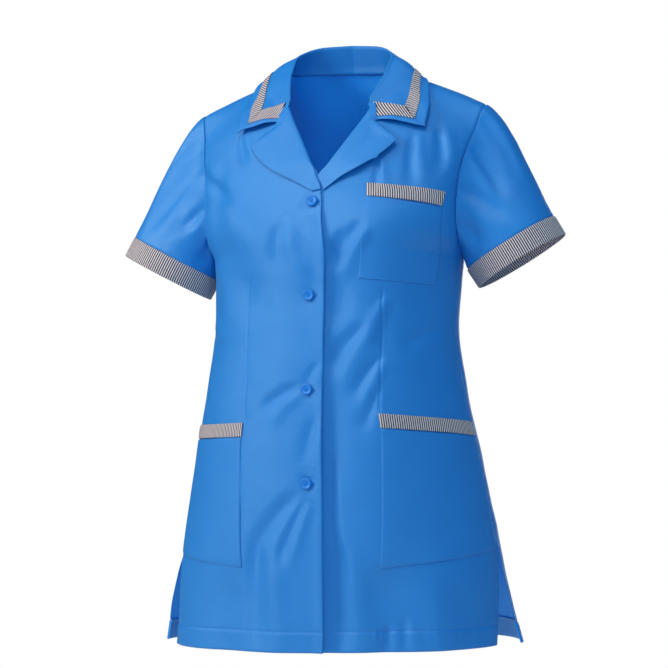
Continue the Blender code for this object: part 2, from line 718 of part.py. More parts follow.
def collar_tape(material, samples):
    """Striped tape on the fall, set in from the edge, turning in to the roll line at both notches."""
    reach = int(TAPE["end_inner"] * COLLAR_STEPS)
    long_way = [k / COLLAR_STEPS for k in range(-reach, reach + 1)]
    corner = TAPE["end_outer"]
    outer = [(a, TAPE["outer"]) for a in [-corner, *long_way, corner]]
    corner = TAPE["end_inner"]
    inner = [(a, TAPE["inner"]) for a in [-corner, *long_way, corner]]
    for share in (0.33, 0.66, 1.0):
        out_across = TAPE["outer"] + share * (TAPE["near_roll"] - TAPE["outer"])
        in_across = TAPE["inner"] + share * (TAPE["near_roll"] - TAPE["inner"])
        for sign in (-1, 1):
            out_point = (sign * TAPE["end_outer"], out_across)
            in_point = (sign * TAPE["end_inner"], in_across)
            if sign < 0:
                outer.insert(0, out_point)
                inner.insert(0, in_point)
            else:
                outer.append(out_point)
                inner.append(in_point)
    outer = np.array(outer)
    inner = np.array(inner)
    lines = np.stack([outer, inner], axis=1)
    points = collar_face(lines[..., 0], lines[..., 1], samples)
    step = 0.004
    after = collar_face(lines[..., 0] + step, lines[..., 1], samples)
    before = collar_face(lines[..., 0] - step, lines[..., 1], samples)
    lower = collar_face(lines[..., 0], lines[..., 1] + 5 * step, samples)
    upper = collar_face(lines[..., 0], lines[..., 1] - 5 * step, samples)
    normals = unit(np.cross(after - before, lower - upper))
    normals *= np.sign(np.sum(normals * away(points), axis=-1, keepdims=True))
    top = points + (LAY_GAP + ROLL_LIFT + TRIM_WALL) * normals
    return closed_shell("collar_tape", top, top - TRIM_WALL * normals, material)


def lapel(side, material):
    """The turned-back top of a front, lying on it."""
    alongs = np.array([0.0, 0.125, 0.25, 0.375, 0.50, 0.625, 0.75, 0.87, 1.0])
    acrosses = np.linspace(0.0, 1.0, 6)
    along, across = np.meshgrid(alongs, acrosses, indexing="ij")
    lines = {name: LAPEL[name].copy() for name in ("in_drop", "out_share", "out_drop")}
    if side > 0:
        for name, value in zip(lines, LEFT_LAPEL_FOOT):
            lines[name][-1] = value
    in_drop, out_share, out_drop = [np.interp(along, LAPEL["along"], lines[name]) for name in lines]
    start = overlap_share(side, in_drop)
    share = start + (out_share - start) * across
    drop = in_drop + (out_drop - in_drop) * across

    def face(shares, drops):
        return front_face(side, shares, drops)

    points = face(share, drop)
    normals = normals_of(face, share, drop, away(points))
    lift = LAY_GAP + WALL + ROLL_LIFT * (1 - across)[..., None]
    top = points + lift * normals
    name = "lapel_left" if side > 0 else "lapel_right"
    return closed_shell(name, top, top - WALL * normals, material)


def patch(name, face, corners, rows, wall, material):
    """A flat piece on a panel, between four corners given as (share, drop)."""
    columns = 9
    down, across = np.meshgrid(np.linspace(0, 1, rows), np.linspace(0, 1, columns), indexing="ij")
    top_in, top_out, low_in, low_out = [np.array(c) for c in corners]
    upper = top_in + (top_out - top_in) * across[..., None]
    lower = low_in + (low_out - low_in) * across[..., None]
    place = upper + (lower - upper) * down[..., None]
    share = place[..., 0]
    drop = place[..., 1]
    points = face(share, drop)
    normals = normals_of(face, share, drop, away(points))
    outer = points + (LAY_GAP + wall) * normals
    return closed_shell(name, outer, outer - wall * normals, material)


def pockets(blue, striped):
    """Chest pocket and two hip pockets with their bands."""
    def left(share, drop):
        return front_face(1, share, drop)

    def right(share, drop):
        return front_face(-1, share, drop)

    patch("chest_pocket", left, CHEST_POCKET, 8, TRIM_WALL, blue)
    patch("chest_band", left, CHEST_BAND, 3, BAND_WALL, striped)
    for face, name in ((left, "left"), (right, "right")):
        inner, outer = HIP_BAND_DROPS[name]
        start = HIP_SHARES["band_in"]
        end = HIP_SHARES["band_out"]
        band = [(start, inner), (end, outer), (start, inner + BAND_HEIGHT), (end, outer + BAND_HEIGHT)]
        body = [
            (HIP_SHARES["in"], inner + HIP_POCKET_BELOW),
            (end, outer + HIP_POCKET_BELOW),
            (HIP_SHARES["low_in"], HIP_LOW_DROPS[0]),
            (HIP_SHARES["low_out"], HIP_LOW_DROPS[1]),
        ]
        patch("hip_pocket_" + name, face, body, 10, TRIM_WALL, blue)
        patch("hip_band_" + name, face, band, 3, BAND_WALL, striped)


def centre_front(height):
    """The point and the normal of the right front on the centre line, at a height below the neck."""
    def face(share, drop):
        return front_face(-1, share, drop)

    share = np.array([0.0])
    above = height
    below = height + 0.08
    for _ in range(40):
        middle = (above + below) / 2
        if face(share, np.array([middle]))[0, 2] > -height:
            above = middle
        else:
            below = middle
    place = np.array([(above + below) / 2])
    point = face(share, place)
    return point[0], normals_of(face, share, place, away(point))[0]


def button(index, height, material):
    """A domed disc with a shallow hollow in its face, turned about its axis."""
    point, normal = centre_front(height)
    side_way = unit(np.cross(np.array([0.0, 0.0, 1.0]), normal))
    up_way = np.cross(normal, side_way)
    mesh = bmesh.new()
    rings = []
    for radius, rise in BUTTON_PROFILE:
        centre = point + (BUTTON_STANDOFF + rise * BUTTON_HEIGHT) * normal
        ring = []
        for k in range(BUTTON_SIDES):
            angle = 2 * math.pi * k / BUTTON_SIDES
            spoke = math.cos(angle) * side_way + math.sin(angle) * up_way
            ring.append(mesh.verts.new(centre + radius * BUTTON_RADIUS * spoke))
        rings.append(ring)
    for low_ring, high_ring in zip(rings, rings[1:]):
        for k in range(BUTTON_SIDES):
            n = (k + 1) % BUTTON_SIDES
            mesh.faces.new([low_ring[k], low_ring[n], high_ring[n], high_ring[k]])
    mesh.faces.new(rings[0])
    mesh.faces.new(rings[-1])
    bmesh.ops.recalc_face_normals(mesh, faces=mesh.faces)
    return add_object("button_" + str(index), mesh, material)


def main():
    """Clears the scene and builds every piece."""
    for item in list(bpy.data.objects):
        bpy.data.objects.remove(item, do_unlink=True)
    blue = cloth_material("blue_cloth", BLUE, 0.75)
    striped = cloth_material("striped_cloth", STRIPED, 0.8)
    button_finish = cloth_material("blue_button", BLUE, 0.35)
    samples = body_samples()
    front(1, blue)
    front(-1, blue)
    back(blue)
    for side_name in ("left", "right"):
        sleeve(side_name, blue)
        cuff(side_name, striped)
    collar(blue, samples)
    collar_tape(striped, samples)
    lapel(1, blue)
    lapel(-1, blue)
    pockets(blue, striped)
    for index, height in enumerate(BUTTON_DROPS):
        button(index + 1, height, button_finish)


main()
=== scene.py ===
"""Dressed look of a short-sleeved work tunic: cloth shells, seams, striped trims, buttons, studio.

Metres, +Z up, the wearer faces -Y. The tables and face functions are the part's own, so that every
piece lies where its solid lies. Folds and creases that the solids leave out are added here.
"""

import math
from functools import partial

import bmesh
import bpy
import mathutils
import numpy as np
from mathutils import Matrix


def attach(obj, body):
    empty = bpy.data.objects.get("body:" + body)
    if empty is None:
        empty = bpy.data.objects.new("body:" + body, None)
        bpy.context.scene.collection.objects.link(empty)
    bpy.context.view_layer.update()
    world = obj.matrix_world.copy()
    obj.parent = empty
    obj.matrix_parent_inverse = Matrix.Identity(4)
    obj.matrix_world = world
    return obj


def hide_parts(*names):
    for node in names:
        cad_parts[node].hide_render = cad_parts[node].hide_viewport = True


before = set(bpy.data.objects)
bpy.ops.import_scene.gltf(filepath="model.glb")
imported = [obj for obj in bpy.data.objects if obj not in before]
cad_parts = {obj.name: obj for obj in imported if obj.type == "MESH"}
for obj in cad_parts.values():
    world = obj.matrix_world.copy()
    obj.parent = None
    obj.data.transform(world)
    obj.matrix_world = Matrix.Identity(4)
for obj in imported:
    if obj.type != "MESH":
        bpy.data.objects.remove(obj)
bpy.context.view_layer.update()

# Driving dimensions of the part
WALL = 0.0014
COLLAR_WALL = 0.0012
SEAM_GAP = 0.0004
LAY_GAP = 0.0008
SLEEVE_START = 0.0007
V_DROP = 0.186
SHOULDER_DROP = 0.047
ARMPIT_DROP = 0.241
VENT_DROP = 0.600
LEAN = 0.022
CUFF_DEPTH = 0.0265
CUFF_PROUD = 0.0010
BUTTON_RADIUS = 0.0072
BUTTON_DROPS = [0.169, 0.2865, 0.404, 0.5215]
CREST = 0.0021
CREST_SHARE = 0.16
PUFF_START = 6.75
LIFT_FROM = 0.30
LEAST_TURN = 0.4
BAND_HEIGHT = 0.0165
HIP_BAND_DROPS = {"left": (0.4365, 0.452), "right": (0.446, 0.453)}

# Sizes of the dressing. Of a pair, 1 is for the wearer's left side and -1 for the right.
CLOTH = 0.0008
TRIM = 0.0007
HEM_TURN = 0.026
DART_X = {1: 0.0893, -1: -0.0868}
DART_TOP = {1: 0.281, -1: 0.262}
DART_LOW = {1: 0.437, -1: 0.447}
STRIPE_PITCH = 0.0030
TAPE_PITCH = 0.0028
TAPE_ENDS = {"outer": 0.335, "inner": 0.205}
COLLAR_STAND_OFF = 0.0055
LEAST_STAND_OFF = 0.0012
TAPE_LEAN = 0.018
TAPE_INSET = 0.05
POINT_SHIFT = (0.0085, -0.0010, -0.0035)
PLANE_BREAK = {1: 0.0042, -1: 0.0012}
EDGE_STAND = 0.0024
LAPEL_STAND = {1: 0.0062, -1: 0.0020}
ROLL_SHARE = 0.013
DRESSED_LEFT_FOOT = (0.1865, 0.052, 0.1975)
GORGE = {"along": -0.16, "in_drop": 0.1085, "start": 0.90, "notch": 0.36}
STITCH_PITCH = 0.0034
STITCH_LENGTH = 0.0024
STITCH_AHEAD = 0.0008
THREAD = 0.00022

# How far each seam's edge turns inward
SEAM_TUCK = 0.0036
VENT_TUCK = 0.0010
SHOULDER_TUCK = 0.0034
NECK_TUCK = 0.0007
CAP_TUCK = 0.0030
CUFF_END_TUCK = 0.0026

# Depths and widths of the small forms in the cloth
UNEVEN = 0.0006
SEAM_DIP = 0.0009
END_DIP = 0.0008
SEAM_WIDTH = 0.0020
PUCKER = 0.0005
DART_DIP = 0.0010
DART_WIDTH = 0.0013
DART_HOLLOW = 0.0012
HEM_DIP = 0.0006
HEM_FULLNESS = 0.0005
BUTTON_DIP = 0.0016
BUTTON_PUCKER = 0.0010
CLOSURE_TROUGH = (0.0020, 0.0026)
TROUGH_X = 0.032
EDGE_DIP = 0.0004
EDGE_WIDTH = 0.0012
PATCH_PUFF = 0.0006
LAPEL_LIFT = 0.0022
LAPEL_ROLL = 0.0016
LAPEL_BULGE = 0.0018

# Places of sewn lines, darts and seams
VENT_STITCH = 0.010
PATCH_STITCH = 0.0022
TAPE_STITCH = 0.0016
DART_PLACE = 0.36
UNDER_ARM = 160
INSET_PLACE = 0.60
INSET_WIDTH = 0.16

# Buttons and buttonholes
BUTTON_TOP = 0.0021
BUTTON_RIM = 0.0009
HOLE_PLACE = 0.0013
HOLE_RADIUS = 0.00085
HOLE_DEPTH = 0.0011
BUTTONHOLE_SPAN = (-0.0075, 0.0100)
BUTTONHOLE_HALF = 0.0010
BUTTONHOLE_PITCH = 0.00055

# Pitch and depth of the weaves
CLOTH_WEAVE = 0.0007
TRIM_WEAVE = 0.0006
WEAVE_DEPTH = 0.0002

# Rows of a panel's grid at the vents and the hem: from, to and how many
LOW_ROWS = [(0.600, 0.700, 24), (0.700, 0.714, 12), (0.714, 0.733, 8)]


def table(columns, rows):
    """Rows of numbers as a dictionary of named columns."""
    values = np.array(rows, dtype=float)
    return {name: values[:, i] for i, name in enumerate(columns.split())}


# One half of each panel, for +X. A row runs from its inner end (the roll line, or the centre front
# or back) to its outer end (armhole or side seam). drop is how far the outer end is below the neck.
FRONT = table("drop x_in y_in z_in turn", [
    (0.047, 0.0720, 0.015, 0.000, 30),
    (0.053, 0.0700, 0.002, -0.0055, 45),
    (0.078, 0.0645, -0.022, -0.018, 60),
    (0.112, 0.0548, -0.052, -0.047, 80),
    (0.150, 0.0270, -0.088, -0.094, 88),
    (0.170, 0.0125, -0.102, -0.117, 89),
    (0.186, 0.000, -0.110, -0.1365, 90),
    (0.216, 0.000, -0.122, -0.182, 90),
    (0.241, 0.000, -0.130, -0.224, 90),
    (0.275, 0.000, -0.134, -0.268, 90),
    (0.330, 0.000, -0.139, -0.328, 90),
    (0.412, 0.000, -0.144, -0.412, 90),
    (0.485, 0.000, -0.146, -0.485, 90),
    (0.600, 0.000, -0.145, -0.600, 90),
    (0.733, 0.000, -0.140, -0.733, 84),
])
BACK = table("drop x_in y_in z_in turn", [
    (0.047, 0.000, 0.060, 0.005, 90),
    (0.053, 0.000, 0.0655, -0.008, 88),
    (0.082, 0.000, 0.083, -0.060, 80),
    (0.125, 0.000, 0.100, -0.112, 70),
    (0.165, 0.000, 0.108, -0.158, 70),
    (0.205, 0.000, 0.107, -0.202, 80),
    (0.241, 0.000, 0.101, -0.240, 90),
    (0.275, 0.000, 0.096, -0.275, 90),
    (0.330, 0.000, 0.091, -0.330, 90),
    (0.412, 0.000, 0.096, -0.412, 90),
    (0.485, 0.000, 0.115, -0.485, 90),
    (0.551, 0.000, 0.131, -0.551, 90),
    (0.600, 0.000, 0.141, -0.600, 90),
    (0.733, 0.000, 0.158, -0.733, 85),
])
FRONT_ARMHOLE = table("drop x y", [
    (0.047, 0.190, 0.015),
    (0.053, 0.1875, 0.001),
    (0.078, 0.182, -0.012),
    (0.112, 0.174, -0.036),
    (0.150, 0.168, -0.047),
    (0.186, 0.166, -0.049),
    (0.216, 0.166, -0.038),
    (0.241, 0.164, -0.006),
])
BACK_ARMHOLE = table("drop x y", [
    (0.047, 0.190, 0.015),
    (0.053, 0.1885, 0.029),
    (0.082, 0.183, 0.042),
    (0.125, 0.177, 0.062),
    (0.165, 0.172, 0.070),
    (0.205, 0.169, 0.060),
    (0.241, 0.164, -0.006),
])
SIDE_SEAM = table("drop x y", [
    (0.241, 0.164, -0.006),
    (0.275, 0.1615, -0.010),
    (0.330, 0.1600, -0.018),
    (0.412, 0.1715, -0.020),
    (0.485, 0.1855, -0.012),
    (0.551, 0.198, -0.005),
    (0.600, 0.207, -0.001),
    (0.733, 0.229, 0.000),
])
# How far a front reaches past the centre line, from the V of the neck down
OVERLAP = table("drop reach", [
    (0.186, 0.0000),
    (0.196, 0.0065),
    (0.217, 0.0135),
    (0.250, 0.0200),
    (0.733, 0.0200),
])
# How far the V of the neck is moved to the wearer's left
V_SHIFT = table("drop shift", [
    (0.047, 0.0),
    (0.078, 0.0),
    (0.112, 0.0020),
    (0.130, 0.0038),
    (0.150, 0.0046),
    (0.186, 0.0042),
    (0.200, 0.0024),
    (0.222, 0.0),
    (0.733, 0.0),
])

# Below the vents' tops the fronts and the back part: how far each edge leaves the side seam's line
VENTS = table("drop front_x front_y left_x left_y right_x right_y", [
    (0.600, 0.000, 0.000, 0.000, 0.000, 0.000, 0.000),
    (0.645, -0.003, -0.007, 0.001, 0.003, 0.009, 0.002),
    (0.690, -0.009, -0.016, 0.004, 0.008, 0.013, 0.006),
    (0.733, -0.015, -0.026, 0.009, 0.012, 0.013, 0.010),
])
SHOULDER_BOW = 0.0015
NECK_HALF = (0.072, 0.045, 0.005)
NECK_SHARE = 0.30
NECK_FADE = 0.050

# Fullness over the bust, as a soft mound on each front
BUST = {"x": 0.082, "z": -0.205, "half_width": 0.062, "half_height": 0.060, "rise": 0.015}

# The largest folds, in front view. Depth is into the cloth; a negative depth stands out.
FOLDS = table("face x1 z1 x2 z2 width depth", [
    (-1, 0.032, -0.340, 0.050, -0.235, 0.016, 0.0030),
    (-1, -0.060, -0.330, -0.125, -0.215, 0.022, 0.0035),
    (-1, -0.140, -0.100, -0.138, -0.205, 0.014, 0.0030),
    (-1, 0.090, -0.610, 0.102, -0.780, 0.030, 0.0060),
    (-1, -0.105, -0.610, -0.122, -0.780, 0.030, 0.0060),
    (-1, 0.152, -0.600, 0.165, -0.780, 0.020, -0.0040),
    (-1, -0.050, -0.600, -0.055, -0.780, 0.022, -0.0030),
    (1, 0.060, -0.480, 0.075, -0.780, 0.030, 0.0060),
    (1, -0.060, -0.480, -0.070, -0.780, 0.030, 0.0060),
    (1, 0.000, -0.330, 0.000, -0.520, 0.030, 0.0040),
])

# Creases of the cloth, in front view. lip is a ridge beside the trough, bow bends it sideways.
CREASES = table("face x1 z1 x2 z2 width depth lip bow", [
    (-1, -0.178, -0.118, -0.112, -0.166, 0.008, 0.0046, 0.6, 0.004),
    (-1, -0.118, -0.080, -0.101, -0.118, 0.006, 0.0043, 0.4, 0.002),
    (-1, -0.040, -0.196, -0.040, -0.256, 0.011, 0.0032, 0.3, 0.004),
    (-1, -0.030, -0.203, 0.000, -0.266, 0.012, -0.0029, 0.0, 0.003),
    (-1, -0.150, -0.250, -0.150, -0.330, 0.010, 0.0029, 0.3, -0.003),
    (-1, -0.158, -0.330, -0.128, -0.352, 0.007, 0.0032, 0.5, 0.002),
    (-1, 0.113, -0.086, 0.121, -0.156, 0.007, 0.0043, 0.6, 0.002),
    (-1, 0.141, -0.078, 0.150, -0.136, 0.007, 0.0043, 0.6, -0.002),
    (-1, 0.076, -0.118, 0.079, -0.158, 0.005, 0.0038, 0.5, 0.000),
    (-1, 0.066, -0.198, 0.024, -0.257, 0.009, 0.0058, 0.7, 0.003),
    (-1, 0.045, -0.205, 0.026, -0.240, 0.006, 0.0023, 0.4, 0.001),
    (-1, 0.096, -0.292, 0.070, -0.352, 0.008, -0.0032, 0.3, 0.002),
    (-1, 0.069, -0.326, 0.024, -0.388, 0.010, 0.0046, 0.5, 0.004),
    (-1, 0.087, -0.366, 0.057, -0.420, 0.008, 0.0041, 0.5, 0.003),
    (-1, 0.085, -0.406, 0.070, -0.458, 0.007, 0.0029, 0.4, 0.000),
    (-1, 0.150, -0.335, 0.112, -0.352, 0.008, 0.0029, 0.5, 0.002),
    (-1, -0.012, -0.400, -0.064, -0.436, 0.008, 0.0043, 0.5, 0.004),
    (-1, 0.014, -0.372, -0.003, -0.398, 0.005, 0.0023, 0.5, 0.000),
    (-1, 0.012, -0.440, -0.004, -0.500, 0.008, 0.0023, 0.4, 0.002),
    (-1, -0.014, -0.535, -0.074, -0.612, 0.012, 0.0055, 0.4, 0.004),
    (-1, -0.071, -0.595, -0.066, -0.735, 0.016, 0.0058, 0.3, 0.000),
    (-1, -0.003, -0.545, -0.038, -0.624, 0.007, 0.0041, 0.6, 0.002),
    (-1, 0.040, -0.590, 0.047, -0.745, 0.012, 0.0052, 0.4, 0.000),
    (-1, 0.030, -0.500, 0.032, -0.720, 0.008, 0.0035, 0.3, 0.000),
    (-1, 0.098, -0.700, 0.095, -0.745, 0.008, 0.0032, 0.6, 0.000),
    (-1, 0.118, -0.690, 0.116, -0.745, 0.007, 0.0026, 0.6, 0.000),
    (1, 0.158, -0.185, 0.085, -0.238, 0.011, 0.0043, 0.6, 0.004),
    (1, -0.158, -0.180, -0.090, -0.240, 0.011, 0.0043, 0.6, 0.004),
    (1, 0.150, -0.130, 0.112, -0.200, 0.010, 0.0031, 0.5, -0.003),
    (1, -0.150, -0.125, -0.116, -0.205, 0.010, 0.0031, 0.5, -0.003),
    (1, 0.140, -0.310, 0.040, -0.352, 0.010, 0.0038, 0.6, 0.005),
    (1, -0.145, -0.318, -0.050, -0.345, 0.010, 0.0036, 0.6, 0.005),
    (1, 0.150, -0.360, 0.060, -0.372, 0.009, 0.0029, 0.6, -0.004),
    (1, -0.140, -0.372, -0.070, -0.366, 0.009, 0.0026, 0.6, -0.004),
    (1, 0.120, -0.420, 0.136, -0.560, 0.013, 0.0036, 0.4, 0.004),
    (1, -0.125, -0.430, -0.142, -0.580, 0.013, 0.0036, 0.4, 0.004),
    (1, 0.020, -0.540, 0.024, -0.745, 0.016, 0.0041, 0.4, 0.003),
])

# Sleeve ends: centre of the cuff's lower ring, the sleeve's direction, ring half-sizes
SLEEVES = {
    "left": {
        "side": 1,
        "end": (0.2375, 0.010, -0.2435),
        "axis": (0.526, 0.040, -0.850),
        "ring": (0.0645, 0.054),
    },
    "right": {
        "side": -1,
        "end": (0.234, -0.008, -0.2635),
        "axis": (0.446, -0.115, -0.888),
        "ring": (0.0625, 0.054),
    },
}

# The collar for +X, from the centre back (0) to the notch end (1): neck seam, roll line, outer edge
COLLAR = table("along base_x base_y base_z roll_x roll_y roll_z edge_x edge_y edge_z puff", [
    (0.00, 0.000, 0.0585, 0.0070, 0.000, 0.0510, 0.0390, 0.000, 0.0740, -0.0140, 0.006),
    (0.20, 0.040, 0.0510, 0.0060, 0.036, 0.0440, 0.0365, 0.048, 0.0680, -0.0160, 0.006),
    (0.35, 0.062, 0.0350, 0.0045, 0.056, 0.0310, 0.0300, 0.085, 0.0480, -0.0190, 0.0066),
    (0.50, 0.0700, 0.0140, 0.0020, 0.0660, 0.0120, 0.0200, 0.110, 0.0160, -0.0100, 0.0062),
    (0.65, 0.0655, -0.008, -0.0080, 0.0650, -0.0110, 0.0010, 0.119, -0.0060, -0.0250, 0.0036),
    (0.82, 0.0582, -0.034, -0.0290, 0.0590, -0.0370, -0.0230, 0.1240, -0.0280, -0.0520, 0.000),
    (1.00, 0.0465, -0.066, -0.0640, 0.0475, -0.0690, -0.0590, 0.1235, -0.0480, -0.0810, 0.000),
])

# A lapel for +X, from its top (gorge and notch) to its foot, on the front: roll line and outer edge
LAPEL = table("along in_drop out_share out_drop", [
    (0.00, 0.1290, 0.107, 0.1262),
    (0.25, 0.1390, 0.307, 0.1378),
    (0.50, 0.1530, 0.262, 0.1545),
    (0.75, 0.1700, 0.165, 0.1778),
    (1.00, 0.1975, 0.002, 0.2000),
])

# Patches on the fronts by their corners (share, drop): top inner, top outer, low inner, low outer
CHEST_BAND = [(0.267, 0.1850), (0.787, 0.1726), (0.277, 0.1966), (0.765, 0.1895)]
CHEST_POCKET = [(0.280, 0.1990), (0.762, 0.1925), (0.252, 0.2726), (0.703, 0.2792)]
HIP_SHARES = {"band_in": 0.335, "band_out": 0.985, "in": 0.338, "low_in": 0.285, "low_out": 0.955}
HIP_LOW_DROPS = (0.628, 0.612)
HIP_POCKET_BELOW = 0.019

# Tape on the collar's fall: distances in shares of the collar's own grid
TAPE = {"outer": 0.85, "inner": 0.665, "end_outer": 0.966, "end_inner": 0.885}


def eased(f, start, leaving, end, arriving):
    """A cubic from start to end, for f from 0 to 1, with the given slopes at its ends."""
    return (
        (2 * f**3 - 3 * f**2 + 1) * start
        + (f**3 - 2 * f**2 + f) * leaving
        + (3 * f**2 - 2 * f**3) * end
        + (f**3 - f**2) * arriving
    )


def glide(knots, values, at):
    """Smooth curve through rows of values that never overshoots them (monotone cubic)."""
    knots = np.asarray(knots, dtype=float)
    values = np.asarray(values, dtype=float)
    steps = np.diff(knots)
    slopes = np.diff(values) / steps
    tangents = np.empty_like(values)
    tangents[0] = slopes[0]
    tangents[-1] = slopes[-1]
    product = slopes[:-1] * slopes[1:]
    total = slopes[:-1] + slopes[1:]
    safe = np.where(product > 0, total, 1.0)
    tangents[1:-1] = np.where(product > 0, 2 * product / safe, 0.0)
    cell = np.clip(np.searchsorted(knots, at, side="right") - 1, 0, len(knots) - 2)
    step = steps[cell]
    f = (at - knots[cell]) / step
    return eased(f, values[cell], step * tangents[cell], values[cell + 1], step * tangents[cell + 1])


def unit(vectors):
    """Vectors scaled to length one."""
    return vectors / np.maximum(np.linalg.norm(vectors, axis=-1, keepdims=True), 1e-12)


def dot(a, b):
    """Scalar products of rows of vectors."""
    return np.sum(a * b, axis=-1, keepdims=True)


def square_to(vectors, way):
    """The part of vectors that is square to a unit way."""
    return vectors - dot(vectors, way) * way


def value_at(rows, name, drop):
    """A column of a table at a drop."""
    return glide(rows["drop"], rows[name], drop)


def soft_step(values):
    """0 to 1 with soft ends."""
    f = np.clip(values, 0.0, 1.0)
    return f * f * (3 - 2 * f)


def outer_end(armhole_rows, spread, drop):
    """Where a panel half ends: the armhole, then the side seam, then its own edge of the vent."""
    low = np.maximum(drop, VENT_DROP)
    ends = []
    for axis in ("x", "y"):
        hole = value_at(armhole_rows, axis, drop)
        seam = value_at(SIDE_SEAM, axis, drop) + value_at(VENTS, spread + "_" + axis, low)
        ends.append(np.where(drop < ARMPIT_DROP, hole, seam))
    return ends


def section(rows, ends, share, drop):
    """Points of a panel half: share 0 to 1 from the inner end to the outer end, at each drop."""
    row = {name: value_at(rows, name, drop) for name in rows if name != "drop"}
    turn = np.radians(row["turn"])
    x = row["x_in"] + (ends[0] - row["x_in"]) * np.sin(turn * share) / np.sin(turn)
    bend = (1 - np.cos(turn * share)) / (1 - np.cos(turn))
    y = row["y_in"] + (ends[1] - row["y_in"]) * bend
    z = row["z_in"] + (-drop - row["z_in"]) * np.abs(share)
    return np.stack([x, y, z], axis=-1)


def top_fade(drop):
    """One at the shoulders' drop, fading to nothing a little below."""
    return np.clip(1 - (drop - SHOULDER_DROP) / NECK_FADE, 0.0, 1.0) ** 2


def shoulder_bow(x, drop):
    """How far the shoulder seam stands above a straight line, fading down the panels."""
    neck_x = NECK_HALF[0]
    tip_x = FRONT_ARMHOLE["x"][0]
    run = np.clip((x - neck_x) / (tip_x - neck_x), 0.0, 1.0)
    fade = top_fade(drop)
    return SHOULDER_BOW * np.sin(math.pi * run) * fade


def neck_shape(share, drop):
    """How far the back's top rows depart from plain sections, to follow neck and shoulder seam."""
    half, depth, rise = NECK_HALF
    seam_y = FRONT["y_in"][0]
    angle = np.minimum(share / NECK_SHARE, 1.0) * math.pi / 2
    neck = np.stack([half * np.sin(angle), seam_y + depth * np.cos(angle), rise * np.cos(angle)], axis=-1)
    run = np.clip((share - NECK_SHARE) / (1 - NECK_SHARE), 0.0, 1.0)[..., None]
    tip = np.array([FRONT_ARMHOLE["x"][0], seam_y, -SHOULDER_DROP])
    top = neck + run * (tip - np.array([half, seam_y, 0.0]))
    top_drop = np.full_like(share, SHOULDER_DROP)
    plain = section(BACK, outer_end(BACK_ARMHOLE, "left", top_drop), share, top_drop)
    fade = top_fade(drop)
    return (top - plain) * fade[..., None]


def line_frame(x, z, line, i):
    """Length of a fold's line, and each point's place along it and across it."""
    start = np.array([line["x1"][i], line["z1"][i]])
    run = np.array([line["x2"][i], line["z2"][i]]) - start
    length = float(np.hypot(*run))
    along = ((x - start[0]) * run[0] + (z - start[1]) * run[1]) / length
    across = (-(x - start[0]) * run[1] + (z - start[1]) * run[0]) / length
    return length, along, across


def fold(points, face):
    """Moves points of the front (-1) or back (1) along Y by the large folds and the creases."""
    x = points[..., 0]
    z = points[..., 2]
    shift = np.zeros_like(x)
    for i in np.nonzero(FOLDS["face"] == face)[0]:
        length, along, across = line_frame(x, z, FOLDS, i)
        hump = soft_step(along / (0.35 * length)) * soft_step((1.25 * length - along) / (0.35 * length))
        shift += FOLDS["depth"][i] * hump * bell(across, FOLDS["width"][i])
    for i in np.nonzero(CREASES["face"] == face)[0]:
        length, along, across = line_frame(x, z, CREASES, i)
        f = np.clip(along / length, 0.0, 1.0)
        across = across + CREASES["bow"][i] * 4 * f * (1 - f)
        width = CREASES["width"][i] * (0.7 + 0.6 * f)
        hump = soft_step((along / length + 0.12) / 0.35) * soft_step((1.12 - along / length) / 0.45)
        ridge = CREASES["lip"][i] * bell(across - 1.8 * width, 1.1 * width)
        shift += CREASES["depth"][i] * hump * (bell(across, width) - ridge)
    points = points.copy()
    points[..., 1] -= face * shift
    return points


def lean(points):
    """The figure stands with one shoulder and hip a little higher."""
    points = points.copy()
    points[..., 2] += LEAN * points[..., 0]
    return points


def front_face(side, share, drop):
    """Outer face of a front, side 1 for the wearer's left and -1 for the right."""
    share, drop = np.broadcast_arrays(np.asarray(share, float), np.asarray(drop, float))
    points = section(FRONT, outer_end(FRONT_ARMHOLE, "front", drop), share, drop)
    points[..., 2] += shoulder_bow(points[..., 0], drop)
    level = ((points[..., 2] - BUST["z"]) / BUST["half_height"]) ** 2
    for centre in (-BUST["x"], BUST["x"]):
        across = ((points[..., 0] - centre) / BUST["half_width"]) ** 2
        points[..., 1] -= BUST["rise"] * np.exp(-across - level)
    points[..., 0] *= side
    points = fold(points, -1)
    if side < 0:
        near = soft_step((points[..., 0] + 0.075) / 0.040) * soft_step((drop - 0.160) / 0.020)
        points[..., 1] -= near * (WALL + LAY_GAP)
    return lean(points)


def back_face(share, drop):
    """Outer face of the back, share -1 to 1 from the right side seam to the left."""
    share, drop = np.broadcast_arrays(np.asarray(share, float), np.asarray(drop, float))
    half = np.abs(share)
    left = outer_end(BACK_ARMHOLE, "left", drop)
    right = outer_end(BACK_ARMHOLE, "right", drop)
    ends = [np.where(share < 0, right[i], left[i]) for i in (0, 1)]
    points = section(BACK, ends, half, drop) + neck_shape(half, drop)
    points[..., 2] += shoulder_bow(points[..., 0], drop)
    points[..., 0] *= np.where(share < 0, -1.0, 1.0)
    return lean(fold(points, 1))


def normals_of(face, share, drop, outward):
    """Unit normals of a panel's face, by small steps along both of its directions."""
    step = 1e-4
    across = face(share + step, drop) - face(share - step, drop)
    down = face(share, drop + step) - face(share, drop - step)
    normal = unit(np.cross(across, down))
    sign = np.sign(dot(normal, outward))
    return normal * np.where(sign == 0, 1.0, sign)


def away(points):
    """Directions from the body's upright axis to the points."""
    axis = np.array([0.0, -0.020, 0.0])
    out = points - axis
    out[..., 2] = 0.05
    return out


